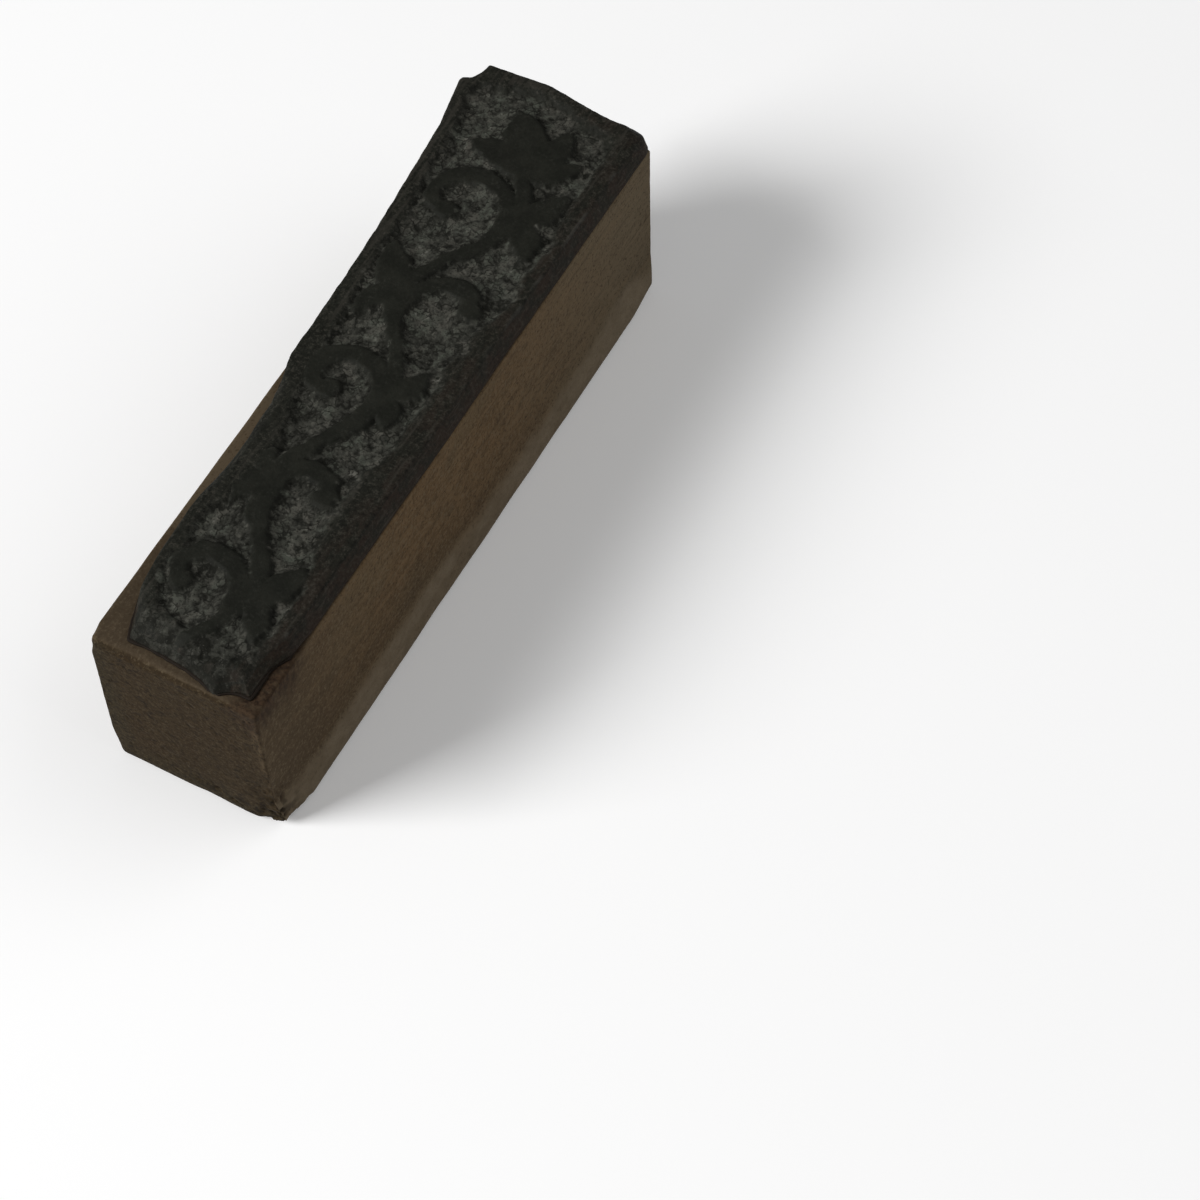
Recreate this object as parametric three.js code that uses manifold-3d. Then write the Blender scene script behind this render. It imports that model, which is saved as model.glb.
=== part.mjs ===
// Hand-carved seal stamp: a wooden block, a film of glue and a carved sheet of rubber.
// It lies on its back with the printing face up. Millimetres, +Z up, +Y along the block to its far end.
// The origin is the middle of the block's flat back.

import * as THREE from 'three';
import * as BufferGeometryUtils from 'three/addons/utils/BufferGeometryUtils.js';
import Module from 'manifold-3d';

const wasm = await Module();
wasm.setup();

// Wooden block: overall sizes
const blockLength = 76;
const blockHeight = 19.5;

// Wooden block: how far each side's top edge stands from the middle plane, and how much the left side widens
const rightTopReachNear = 9.5;
const rightTopReachFar = 9.65;
const leftTopReachNear = 8.65;
const leftTopReachFar = 9.6;
const leftBackSpread = 1.05;

// Wooden block: sawn ends. The skew is how much further out an end lies on the right than on the left,
// and the lean is how much further out it lies at the top than at the back.
const nearEndSkew = 1.0;
const farEndSkew = 0.6;
const nearEndLean = 0.3;
const farEndLean = 0.25;

// Wooden block: shallow finger groove low on the right side, and the lip below it. The lip runs out at
// the far end.
const grooveDepth = 0.3;
const grooveHeight = 5.0;
const lipProudNear = 0.2;
const lipProudFar = 0.35;
const lipHeight = 1.3;
const lipFadeLength = 6;
const lipFadeSteps = 3;
const grooveShares = [0.15, 0.35, 0.55, 0.75, 1];

// Wooden block: rounded edges
const backEdgeRadius = 1.0;
const topEdgeRadius = 0.3;
const endEdgeRadius = 0.35;
const arcSteps = 5;

// Wooden block: the worn near right corner, low down
const cornerWearDepth = 1.1;
const cornerWearHeight = 10;

// Film of glue
const glueThickness = 0.2;
const glueSqueeze = 0.25;
const glueSetback = 0.1;

// Sheet of rubber
const rubberThickness = 1.8;
const carvingDepth = 0.75;
const edgeLean = { near: 0.6, right: 0.7, far: 0.2, left: 0.45 };

// Sheet of rubber: its foot, counter-clockwise from above. Each point has its share of the way along a side
// of the block's top, from the near or the left end, and how far the rubber reaches past that side.
const rubberEdge = {
  near: [[0.2, -1.6], [0.4, -1.6], [0.53, -1.4], [0.65, -1], [0.75, -0.15], [0.8, -0.9], [0.87, -1.5]],
  right: [[0.013, -1.35], [0.055, -1.35], [0.087, -0.4], [0.13, -0.1], [0.45, 0], [0.57, -0.1], [0.84, 0],
    [0.99, -0.25]],
  far: [[0.94, 0.25], [0.8, 0.6], [0.63, 1.25], [0.47, 2.2], [0.34, 2.85], [0.08, 3.15], [-0.035, 3.25],
    [-0.045, 1.7], [-0.07, 0.8], [-0.122, 0.5]],
  left: [[0.985, 2.65], [0.95, 2.2], [0.91, 1.55], [0.83, 1.05], [0.755, 0.55], [0.59, -0.15], [0.47, -0.35],
    [0.435, -0.95], [0.395, -1.5], [0.3, -1.75], [0.25, -1.3], [0.21, -1.2], [0.125, -1.5], [0.08, -2],
    [0.035, -3.3]],
};

// Sheet of rubber: the edge of the ground that was cut away inside the border, given in the same way
const groundEdge = {
  near: [[0.2, -4.9], [0.43, -3.6], [0.55, -2.5], [0.72, -1.6], [0.83, -2.3]],
  right: [[0.055, -1.9], [0.14, -1.8], [0.19, -2.9], [0.25, -4.1], [0.32, -3.7], [0.38, -2.7], [0.53, -3],
    [0.65, -1.8], [0.83, -1.9], [0.96, -2.4]],
  far: [[0.84, -1.1], [0.5, 0.8], [0.2, 1.6], [0, 1.4]],
  left: [[0.985, 1.3], [0.93, 0.2], [0.84, -0.8], [0.76, -1.4], [0.6, -2.1], [0.49, -2.9], [0.42, -3.2],
    [0.35, -4.8], [0.28, -4.6], [0.22, -3.1], [0.12, -2.6]],
};

// Ornament: a vine that winds along the middle of the face
const vineNearGap = 3.2;
const vineFarGap = 9.5;
const vineHalfWidth = 0.62;
const vineSwell = 0.36;
const vineTipShare = 0.3;
const vineBendSteps = 12;

// Ornament: the vine's bends, from the near end, in turn to the right and to the left. Each bend swings out
// by its own amount, and has a curl in its hollow and a leaf ahead and one behind on its outer side.
const bends = [
  { swing: 3.2, curlReach: 3.0, curlRadius: 1.1, curlTurn: 300, leafAhead: 5.6, leafBehind: 4.6 },
  { swing: 1.8, curlReach: 2.6, curlRadius: 0.9, curlTurn: 250, leafAhead: 3.4, leafBehind: 4.4 },
  { swing: 2.2, curlReach: 3.3, curlRadius: 1.2, curlTurn: 345, leafAhead: 5.0, leafBehind: 3.8 },
  { swing: 3.0, curlReach: 3.4, curlRadius: 1.2, curlTurn: 230, leafAhead: 6.2, leafBehind: 4.8 },
  { swing: 2.8, curlReach: 4.3, curlRadius: 1.4, curlTurn: 330, leafAhead: 6.0, leafBehind: 5.4 },
];

// Ornament: curls
const curlThinHalfWidth = 0.4;
const curlSwell = 0.5;
const curlSwellBias = 0.8;
const curlTightening = 1.7;
const curlBudRadius = 1.0;
const curlSteps = 24;

// Ornament: leaves, and the tuft of leaves at the vine's far tip as a direction in degrees and a length
const leafSlimness = 4;
const leafFootBias = 0.75;
const leafRoundness = 0.9;
const leafTipHalfWidth = 0.12;
const leafLean = 34;
const leafBow = 0.5;
const leafSteps = 12;
const tuft = [[-75, 6.5], [-28, 8.5], [20, 7.0], [62, 6.0]];
const strokeRoot = 0.3;

const rubberBase = blockHeight + glueThickness;
const printPlane = rubberBase + rubberThickness;
const groundPlane = printPlane - carvingDepth;
const nearEnd = -blockLength / 2;
const farEnd = blockLength / 2;

// Materials
const wood = new THREE.MeshStandardMaterial({ color: 0x5a4a38, roughness: 0.8, metalness: 0 });
const glue = new THREE.MeshStandardMaterial({ color: 0x2c2119, roughness: 0.5, metalness: 0 });
const rubber = new THREE.MeshStandardMaterial({ color: 0x2e2e2b, roughness: 0.7, metalness: 0 });

// Geometry and solids

function geometryToSolid(geometry) {
  const bare = geometry.clone();
  bare.deleteAttribute('normal');
  bare.deleteAttribute('uv');
  const merged = BufferGeometryUtils.mergeVertices(bare, 1e-5);
  const mesh = new wasm.Mesh({
    numProp: 3,
    vertProperties: new Float32Array(merged.attributes.position.array),
    triVerts: new Uint32Array(merged.index.array),
  });
  return new wasm.Manifold(mesh);
}

function solidToGeometry(solid) {
  const mesh = solid.getMesh();
  const geometry = new THREE.BufferGeometry();
  geometry.setAttribute('position', new THREE.BufferAttribute(mesh.vertProperties, 3));
  geometry.setIndex(new THREE.BufferAttribute(mesh.triVerts, 1));
  geometry.computeVertexNormals();
  return geometry;
}

// A closed body through rings of equal counts. toPlane maps a point to the plane square to the rings' run.
function loft(rings, toPlane) {
  const clockwise = THREE.ShapeUtils.isClockWise(rings[0].map(toPlane));
  const ordered = clockwise ? rings.map((ring) => [...ring].reverse()) : rings;
  const count = ordered[0].length;
  const last = (ordered.length - 1) * count;
  const indices = [];
  for (let r = 0; r + 1 < ordered.length; r += 1) {
    for (let i = 0; i < count; i += 1) {
      const a = r * count + i;
      const b = r * count + ((i + 1) % count);
      indices.push(a, b, b + count, a, b + count, a + count);
    }
  }
  for (const [i, j, k] of THREE.ShapeUtils.triangulateShape(ordered[0].map(toPlane), [])) {
    indices.push(k, j, i);
  }
  for (const [i, j, k] of THREE.ShapeUtils.triangulateShape(ordered.at(-1).map(toPlane), [])) {
    indices.push(last + i, last + j, last + k);
  }
  const geometry = new THREE.BufferGeometry().setFromPoints(ordered.flat());
  geometry.setIndex(indices);
  return geometry;
}

const acrossY = (p) => new THREE.Vector2(p.z, p.x);
const acrossZ = (p) => new THREE.Vector2(p.x, p.y);

function arc(centreX, centreZ, radius, fromDegrees, toDegrees) {
  const points = [];
  for (let i = 0; i <= arcSteps; i += 1) {
    const angle = THREE.MathUtils.degToRad(THREE.MathUtils.lerp(fromDegrees, toDegrees, i / arcSteps));
    points.push([centreX + radius * Math.cos(angle), centreZ + radius * Math.sin(angle)]);
  }
  return points;
}

// Moves each edge of a counter-clockwise outline inwards by its own distance.
function insetOutline(outline, distances) {
  const edges = outline.map((p, i) => {
    const q = outline[(i + 1) % outline.length];
    const along = q.clone().sub(p).normalize();
    const inward = new THREE.Vector2(-along.y, along.x);
    return { from: p.clone().addScaledVector(inward, distances[i]), along };
  });
  return edges.map((edge, i) => {
    const before = edges[(i + edges.length - 1) % edges.length];
    const gap = edge.from.clone().sub(before.from);
    const reach = gap.cross(edge.along) / before.along.cross(edge.along);
    return before.from.clone().addScaledVector(before.along, reach);
  });
}

// Wooden block

function leftTopReach(y) {
  return THREE.MathUtils.mapLinear(y, nearEnd, farEnd, leftTopReachNear, leftTopReachFar);
}

function rightTopReach(y) {
  return THREE.MathUtils.mapLinear(y, nearEnd, farEnd, rightTopReachNear, rightTopReachFar);
}

function lipProud(y) {
  const fade = 1 - THREE.MathUtils.smoothstep(y, farEnd - lipFadeLength, farEnd);
  return THREE.MathUtils.mapLinear(y, nearEnd, farEnd, lipProudNear, lipProudFar) * fade;
}

function rightReach(y, z) {
  const top = rightTopReach(y);
  const groove = top - grooveDepth;
  if (z < grooveHeight) {
    const rise = THREE.MathUtils.smoothstep(z, lipHeight, grooveHeight);
    return THREE.MathUtils.lerp(top + lipProud(y), groove, rise);
  }
  return THREE.MathUtils.lerp(groove, top, (z - grooveHeight) / (blockHeight - grooveHeight));
}

// Where the two ends lie, across the block and up it
function nearFace(x, z = blockHeight) {
  const skew = (nearEndSkew * x) / (leftTopReachNear + rightTopReachNear);
  return nearEnd - skew + nearEndLean * (1 - z / blockHeight);
}

function farFace(x, z = blockHeight) {
  const skew = (farEndSkew * x) / (leftTopReachFar + rightTopReachFar);
  return farEnd + skew - farEndLean * (1 - z / blockHeight);
}

function blockSection(y, inset) {
  const low = inset;
  const high = blockHeight - inset;
  const right = (z) => rightReach(y, z) - inset;
  const leftTop = -leftTopReach(y) + inset;
  const leftBack = leftTop - leftBackSpread;
  const lipX = right(backEdgeRadius + low);
  const section = arc(lipX - backEdgeRadius, low + backEdgeRadius, backEdgeRadius, -90, 0);
  const sideStart = Math.max(lipHeight, low + backEdgeRadius);
  const sideHeights = grooveShares.map((t) => THREE.MathUtils.lerp(sideStart, grooveHeight, t));
  sideHeights.push((grooveHeight + blockHeight) / 2);
  section.push(...sideHeights.map((z) => [right(z), z]));
  section.push(...arc(right(high) - topEdgeRadius, high - topEdgeRadius, topEdgeRadius, 0, 90));
  section.push(...arc(leftTop + topEdgeRadius, high - topEdgeRadius, topEdgeRadius, 90, 180));
  section.push(...arc(leftBack + backEdgeRadius, low + backEdgeRadius, backEdgeRadius, 180, 270));
  const share = (y - nearEnd) / blockLength;
  return section.map(([x, z]) => {
    return new THREE.Vector3(x, THREE.MathUtils.lerp(nearFace(x, z), farFace(x, z), share), z);
  });
}

function woodenBlock() {
  const endCurve = [];
  for (let i = 0; i <= arcSteps; i += 1) {
    const angle = (Math.PI / 2) * (i / arcSteps);
    const along = endEdgeRadius * (1 - Math.cos(angle));
    const inset = endEdgeRadius * (1 - Math.sin(angle));
    endCurve.push({ along, inset });
  }
  const rings = endCurve.map(({ along, inset }) => blockSection(nearEnd + along, inset));
  for (let i = 0; i < lipFadeSteps; i += 1) {
    rings.push(blockSection(farEnd - lipFadeLength * (1 - i / lipFadeSteps), 0));
  }
  rings.push(...endCurve.reverse().map(({ along, inset }) => blockSection(farEnd - along, inset)));
  const block = geometryToSolid(loft(rings, acrossY));
  return block.subtract(cornerWear());
}

// The wedge of wood that has crumbled away at the near right corner: deepest at the back, and gone at its top
function cornerWear() {
  const cutHeight = 2 * (cornerWearHeight + blockHeight);
  const cutWidth = 4 * (cornerWearDepth + lipProudNear);
  const cutter = new THREE.BoxGeometry(cutWidth, 2 * cutWidth, cutHeight);
  cutter.translate(cutWidth / 2, 0, 0);
  cutter.rotateY(Math.atan2(cornerWearDepth + lipProudNear * Math.SQRT1_2, cornerWearHeight));
  cutter.rotateZ(-Math.PI / 4);
  const inwards = cornerWearDepth * Math.SQRT1_2;
  const cornerX = rightTopReachNear + lipProudNear;
  cutter.translate(cornerX - inwards, nearFace(cornerX, 0) + inwards, 0);
  return geometryToSolid(cutter);
}

// Sheet of rubber

// A point beside the block's top face, from its share of the way along a side and its reach past that side
function besideTop(side, share, reach) {
  if (side === 'near' || side === 'far') {
    const end = side === 'near' ? nearEnd : farEnd;
    const x = THREE.MathUtils.lerp(-leftTopReach(end), rightTopReach(end), share);
    return new THREE.Vector2(x, side === 'near' ? nearFace(x) - reach : farFace(x) + reach);
  }
  const y = THREE.MathUtils.lerp(nearEnd, farEnd, share);
  return new THREE.Vector2(side === 'left' ? -leftTopReach(y) - reach : rightTopReach(y) + reach, y);
}

function outlineAround(edge) {
  return Object.entries(edge).flatMap(([side, places]) => {
    return places.map(([share, reach]) => besideTop(side, share, reach));
  });
}

function atHeight(outline, z) {
  return outline.map((p) => new THREE.Vector3(p.x, p.y, z));
}

const rubberFoot = outlineAround(rubberEdge);
const edgeLeans = Object.entries(rubberEdge).flatMap(([side, places]) => places.map(() => edgeLean[side]));
const rubberTop = insetOutline(rubberFoot, edgeLeans);
const groundOutline = outlineAround(groundEdge);

// A closed body between a lower and an upper outline of equal counts
function betweenOutlines(low, lowZ, high, highZ) {
  return geometryToSolid(loft([atHeight(low, lowZ), atHeight(high, highZ)], acrossZ));
}

function rubberDie() {
  const sheet = betweenOutlines(rubberFoot, rubberBase, rubberTop, printPlane);
  const pocket = betweenOutlines(groundOutline, groundPlane, groundOutline, printPlane + 1);
  const bareDie = sheet.subtract(pocket);
  const strokeLimit = betweenOutlines(rubberTop, rubberBase + strokeRoot, rubberTop, printPlane);
  let ornament = null;
  for (const outline of ornamentStrokes()) {
    const stroke = raisedStroke(outline);
    ornament = ornament ? ornament.add(stroke) : stroke;
  }
  return bareDie.add(ornament.intersect(strokeLimit));
}

function raisedStroke(outline) {
  const shape = new THREE.Shape(outline);
  const depth = printPlane - groundPlane + strokeRoot;
  const stroke = new THREE.ExtrudeGeometry(shape, { depth, bevelEnabled: false });
  stroke.translate(0, 0, groundPlane - strokeRoot);
  return geometryToSolid(stroke);
}

// Ornament

const bendLength = (blockLength - vineNearGap - vineFarGap) / bends.length;

// Bends swing to the right first, then left and right in turn.
function bendSide(number) {
  return number % 2 === 0 ? 1 : -1;
}

function bendStart(number) {
  return nearEnd + vineNearGap + bendLength * number;
}

// The outline of a stroke that follows centre points, with a half width at each
function strokeOutline(centres, halfWidths) {
  const left = [];
  const right = [];
  centres.forEach((centre, i) => {
    const before = centres[Math.max(i - 1, 0)];
    const after = centres[Math.min(i + 1, centres.length - 1)];
    const along = after.clone().sub(before).normalize();
    const side = new THREE.Vector2(-along.y, along.x);
    left.push(centre.clone().addScaledVector(side, halfWidths[i]));
    right.push(centre.clone().addScaledVector(side, -halfWidths[i]));
  });
  return [...right, ...left.reverse()];
}

// The vine starts as a thin tip at the near end.
function vineOutline() {
  const centres = [];
  const halfWidths = [];
  const steps = bends.length * vineBendSteps;
  for (let i = 0; i <= steps; i += 1) {
    const number = Math.min(Math.floor(i / vineBendSteps), bends.length - 1);
    const t = i / vineBendSteps - number;
    const wave = Math.sin(Math.PI * t);
    const taper = Math.min(1, vineTipShare + t + number);
    const x = bendSide(number) * bends[number].swing * wave;
    centres.push(new THREE.Vector2(x, bendStart(number) + bendLength * t));
    halfWidths.push((vineHalfWidth + vineSwell * wave ** 2) * taper);
  }
  return strokeOutline(centres, halfWidths);
}

// A curl leaves the vine where a bend begins, and winds in round the middle of the bend's hollow.
function curlCentres(bend, number) {
  const side = bendSide(number);
  const middle = new THREE.Vector2(-side * bend.curlReach, bendStart(number) + bendLength / 2);
  const start = new THREE.Vector2(0, bendStart(number)).sub(middle);
  const startAngle = Math.atan2(start.y, side * start.x);
  const centres = [];
  for (let i = 0; i <= curlSteps; i += 1) {
    const t = i / curlSteps;
    const radius = bend.curlRadius + (start.length() - bend.curlRadius) * (1 - t) ** curlTightening;
    const angle = startAngle + THREE.MathUtils.degToRad(bend.curlTurn) * t;
    const turned = new THREE.Vector2(side * Math.cos(angle), Math.sin(angle));
    centres.push(middle.clone().addScaledVector(turned, radius));
  }
  return centres;
}

function curlOutline(bend, number) {
  const centres = curlCentres(bend, number);
  const halfWidths = centres.map((_, i) => {
    return curlThinHalfWidth + curlSwell * Math.sin(Math.PI * (i / curlSteps) ** curlSwellBias);
  });
  return strokeOutline(centres, halfWidths);
}

function budOutline(bend, number) {
  const middle = curlCentres(bend, number).at(-1);
  const outline = [];
  for (let i = 0; i < leafSteps; i += 1) {
    const angle = (2 * Math.PI * i) / leafSteps;
    const out = new THREE.Vector2(Math.cos(angle), Math.sin(angle));
    outline.push(middle.clone().addScaledVector(out, curlBudRadius));
  }
  return outline;
}

// A leaf is full near its foot and drawn out to its tip. Its direction turns from +Y towards +X.
function leafOutline(foot, degrees, length, bow) {
  const direction = THREE.MathUtils.degToRad(degrees);
  const along = new THREE.Vector2(Math.sin(direction), Math.cos(direction));
  const across = new THREE.Vector2(along.y, -along.x);
  const centres = [];
  const halfWidths = [];
  for (let i = 0; i <= leafSteps; i += 1) {
    const t = i / leafSteps;
    const bowed = across.clone().multiplyScalar(bow * Math.sin(Math.PI * t));
    centres.push(foot.clone().addScaledVector(along, length * t).add(bowed));
    const full = Math.sin(Math.PI * t ** leafFootBias) ** leafRoundness;
    halfWidths.push(leafTipHalfWidth + (length / leafSlimness) * full);
  }
  return strokeOutline(centres, halfWidths);
}

function ornamentStrokes() {
  const outlines = [vineOutline()];
  bends.forEach((bend, number) => {
    const side = bendSide(number);
    const foot = new THREE.Vector2(side * bend.swing, bendStart(number) + bendLength / 2);
    outlines.push(curlOutline(bend, number), budOutline(bend, number));
    outlines.push(leafOutline(foot, side * leafLean, bend.leafAhead, side * leafBow));
    outlines.push(leafOutline(foot, 180 - side * leafLean, bend.leafBehind, -side * leafBow));
  });
  const tip = new THREE.Vector2(0, bendStart(bends.length));
  outlines.push(...tuft.map(([degrees, length]) => leafOutline(tip, degrees, length, leafBow)));
  return outlines;
}

// Film of glue: the sheet's outline pressed out a little, held back from the block's edges
function glueLayer() {
  const squeezed = insetOutline(rubberFoot, rubberFoot.map(() => -glueSqueeze));
  const film = betweenOutlines(squeezed, blockHeight, squeezed, rubberBase);
  const back = endEdgeRadius + glueSetback;
  const side = topEdgeRadius + glueSetback;
  const ends = [['near', 0], ['near', 1], ['far', 1], ['far', 0]];
  const corners = ends.map(([end, share]) => besideTop(end, share, 0));
  const topFace = insetOutline(corners, [back, side, back, side]);
  return film.intersect(betweenOutlines(topFace, blockHeight, topFace, rubberBase));
}

// Assembly
const stamp = new THREE.Group();

function addPiece(name, solid, material) {
  const mesh = new THREE.Mesh(solidToGeometry(solid), material);
  mesh.name = name;
  stamp.add(mesh);
}

addPiece('wooden_block', woodenBlock(), wood);
addPiece('glue_layer', glueLayer(), glue);
addPiece('rubber_die', rubberDie(), rubber);

export default stamp;
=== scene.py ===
"""Looks of a hand-carved seal stamp: a worn block of wood, a film of glue and a carved sheet of rubber.

Shapes are worked out in millimetres, and Blender gets them in metres. +Z is up out of the printing face,
+Y runs along the block to its far end, and +X is the side with the shallow finger groove.
"""

import itertools
import math

import bpy
import numpy as np
from mathutils import Matrix, Vector
from mathutils.geometry import delaunay_2d_cdt


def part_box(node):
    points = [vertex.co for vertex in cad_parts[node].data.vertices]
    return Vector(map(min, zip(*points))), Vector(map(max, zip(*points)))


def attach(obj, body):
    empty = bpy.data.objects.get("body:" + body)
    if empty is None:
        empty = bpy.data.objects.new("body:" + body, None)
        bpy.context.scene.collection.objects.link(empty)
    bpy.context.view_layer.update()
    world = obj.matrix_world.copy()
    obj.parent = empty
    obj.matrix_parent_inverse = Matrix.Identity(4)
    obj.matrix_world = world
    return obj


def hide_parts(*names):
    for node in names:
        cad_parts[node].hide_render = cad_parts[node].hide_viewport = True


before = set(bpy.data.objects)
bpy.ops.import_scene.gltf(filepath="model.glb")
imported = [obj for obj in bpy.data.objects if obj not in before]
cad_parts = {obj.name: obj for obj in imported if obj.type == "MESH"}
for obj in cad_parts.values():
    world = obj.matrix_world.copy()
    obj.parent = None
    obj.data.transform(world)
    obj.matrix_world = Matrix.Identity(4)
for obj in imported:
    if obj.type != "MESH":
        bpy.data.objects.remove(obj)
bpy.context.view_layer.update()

MM = 0.001


def box_mm(node):
    """Lowest and highest corner of a node, in millimetres."""
    low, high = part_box(node)
    return np.array(low) / MM, np.array(high) / MM


BLOCK_TOP = box_mm("wooden_block")[1][2]
RUBBER_BASE = box_mm("rubber_die")[0][2]
PRINT_PLANE = box_mm("rubber_die")[1][2]

# Camera
CAMERA_AIM = Vector((23.32, -1.78, 0.0))
CAMERA_AZIMUTH = math.radians(30.4)
CAMERA_ELEVATION = math.radians(53.15)
CAMERA_ROLL = math.radians(-4.18)
CAMERA_DISTANCE = 272.4
CAMERA_LENS = 84.0
SENSOR_WIDTH = 36.0
CAMERA_RANGE = (0.01, 10)

# Light and floor: each lamp's direction, distance and width in metres, and level, a share of full light
LAMPS = {
    "key": ((-0.69, -0.73, 0.7), 1.4, 0.65, 1.07),
    "fill": ((0.9, 0.5, 0.62), 1.4, 1.8, 0.46),
}
WORLD_LEVEL = 0.15
FLOOR_COLOUR = (0.7, 0.7, 0.7)
FLOOR_COLOUR_SEEN = (0.96, 0.96, 0.96)
FLOOR_GLOW = 0.12
FLOOR_HALF = 1500
FLOOR_GAP = 0.02

# Wooden block: how far each side's top edge stands from the middle plane, at the near and at the far end
BLOCK_LENGTH = 76.0
NEAR_END = -BLOCK_LENGTH / 2
FAR_END = BLOCK_LENGTH / 2
RIGHT_TOP_REACH = (9.5, 9.65)
LEFT_TOP_REACH = (8.65, 9.6)
LEFT_BACK_SPREAD = 1.05

# Wooden block: the skew and the lean of the near and of the far end
END_SKEW = (1.0, 0.6)
END_LEAN = (0.3, 0.25)

# Wooden block: the shallow groove low on the right side, and the lip below it, which runs out at the far end
GROOVE_DEPTH = 0.3
GROOVE_HEIGHT = 5.0
LIP_PROUD = (0.2, 0.35)
LIP_HEIGHT = 1.3
LIP_FADE_LENGTH = 6.0

# Wooden block: worn edges, and the mesh, whose cells are drawn closer together towards the edges
BACK_EDGE_RADIUS = 1.0
TOP_EDGE_RADIUS = 0.35
NEAR_EDGE_RADIUS = (1.0, 0.4)
NEAR_EDGE_LENGTH = (0.8, 3)
NEAR_EDGE_HEIGHT = (3, 1.2)
SIDE_EDGE_HEIGHTS = (1, 5)
EDGE_UNEVENNESS = 0.25
BLOCK_CELLS = (88, 224, 88)
BLOCK_EASE = 0.6

# Wooden block: the near right corner, crumbled low down, and the chip that the lip has lost beside it
CORNER_WEAR_DEPTH = 0.35
CORNER_WEAR_HEIGHT = 10.0
CORNER_WEAR_REACH = 3.4
CRUMBLED_FOOT_HEIGHT = (1.5, 5)
CRUMBLED_FOOT_START = (-3, 4)
CHIP_DEPTH = 0.2
CHIP_LENGTH = 4.8
CHIP_HEIGHT = 3.4
CHIP_SIDE = (5, 8.5)

# Wooden block: what roughens its surface. Each has its depth, and the scattered ones have the width of the
# cells that they lie in, the share of cells that has one, and where its edge is soft, in cell widths.
GRAIN_DEPTH = 0.02
SAW_DEPTH = 0.03
SAG_DEPTH = 0.03
ROUGH_DEPTH = 0.1
CHUNK_DEPTH = 0.25
CHUNK_SIZE = 0.7
HOLE_DEPTH = 0.45
HOLES = {"size": 0.9, "share": 0.4, "edge": (0.42, 0.2)}
PORE_DEPTH = 0.1
PORES = {"size": 0.6, "share": 0.28, "edge": (0.35, 0.15)}

# Wooden block: colour. The lip is paler up to the band's height, which rises and then falls towards the far
# end: partly paler wood, partly a painted highlight where the lip faces up. Painted shade darkens the wood
# just above it, where the groove faces down. A pair says where something starts and where it is full.
BAND_HEIGHT = 4.6
BAND_RISE = 1.0
BAND_RISE_PLACE = (24, 31)
BAND_FALL = 2.4
BAND_FALL_PLACE = (32, 37)
SHADE_REACH = 7
PALE_LIP = (-28, -36)
PALE_TOP_MIDDLE = -14
PALE_TOP_HALF_LENGTH = 8
FIBRE_REACH = (1.5, 0.6)
FIBRE_HEIGHT = (4, 8)
STAIN_CENTRE = (8.8, -35.2)
STAIN_STRETCH = 1.6
STAIN_REACH = (4.0, 1.4)
STAIN_HEIGHT = (15, 18.7)
# The near end's top edge is paler: worn, and with a painted highlight along it
PALE_ARRIS_WIDTH = (0.8, 0.3)
PALE_ARRIS_MIDDLE = 1.5
PALE_ARRIS_REACH = (5.5, 4)
GRIME_LEFT = (-5.5, -8.5)
GRIME_HEIGHT = (4.5, 0.5)

# Film of glue
GLUE_SQUEEZE = 0.1
GLUE_UNEVENNESS = 0.15
GLUE_SETBACK = 0.1
END_EDGE_SETBACK = 0.45
SHORTEST_GLUE_STEP = 0.02

# Film of glue: its bulging edge, from the wood up, as how far out it is and as a share of its thickness
GLUE_PROFILE = ((0, 0), (0, 0.5), (-0.05, 0.85), (-0.15, 1))

# Sheet of rubber: how far its cut edge leans in, and its foot, counter-clockwise from above. Each point has
# its share of the way along a side of the block's top, and how far the rubber reaches past that side.
EDGE_LEAN = {"near": 0.6, "right": 0.7, "far": 0.2, "left": 0.45}
RUBBER_EDGE = {
    "near": [(0.2, -1.6), (0.4, -1.6), (0.53, -1.4), (0.65, -1), (0.75, -0.15), (0.8, -0.9), (0.87, -1.5)],
    "right": [(0.013, -1.35), (0.055, -1.35), (0.087, -0.4), (0.13, -0.1), (0.45, 0), (0.57, -0.1), (0.84, 0),
              (0.99, 0.05)],
    "far": [(0.98, 0.25), (0.8, 0.6), (0.63, 1.25), (0.47, 2.2), (0.34, 2.85), (0.08, 3.15), (-0.035, 3.25),
            (-0.045, 1.7), (-0.07, 0.8), (-0.122, 0.5)],
    "left": [(0.985, 2.65), (0.95, 2.2), (0.91, 1.55), (0.83, 1.05), (0.755, 0.55), (0.59, -0.15),
             (0.47, -0.35), (0.435, -0.95), (0.395, -1.5), (0.3, -1.75), (0.25, -1.3), (0.21, -1.2),
             (0.125, -1.5), (0.08, -2), (0.035, -3.3)],
}

# Sheet of rubber: the edge of the ground that was cut away inside the border, given in the same way
GROUND_EDGE = {
    "near": [(0.2, -4.9), (0.43, -3.6), (0.55, -2.5), (0.72, -1.6), (0.83, -2.3)],
    "right": [(0.055, -1.9), (0.14, -1.8), (0.19, -2.9), (0.25, -4.1), (0.32, -3.7), (0.38, -2.7), (0.53, -3),
              (0.65, -1.8), (0.83, -1.9), (0.96, -2.4)],
    "far": [(0.84, -1.1), (0.5, 0.8), (0.2, 1.6), (0, 1.4)],
    "left": [(0.985, 1.3), (0.93, 0.2), (0.84, -0.8), (0.76, -1.4), (0.6, -2.1), (0.49, -2.9), (0.42, -3.2),
             (0.35, -4.8), (0.28, -4.6), (0.22, -3.1), (0.12, -2.6)],
}

# Sheet of rubber: its far right corner, rounded and flared out
FAR_CORNER = (9.0, 37.8)
FAR_CORNER_FLARE = 0.35
FAR_CORNER_SOFTENING = 24

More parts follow.
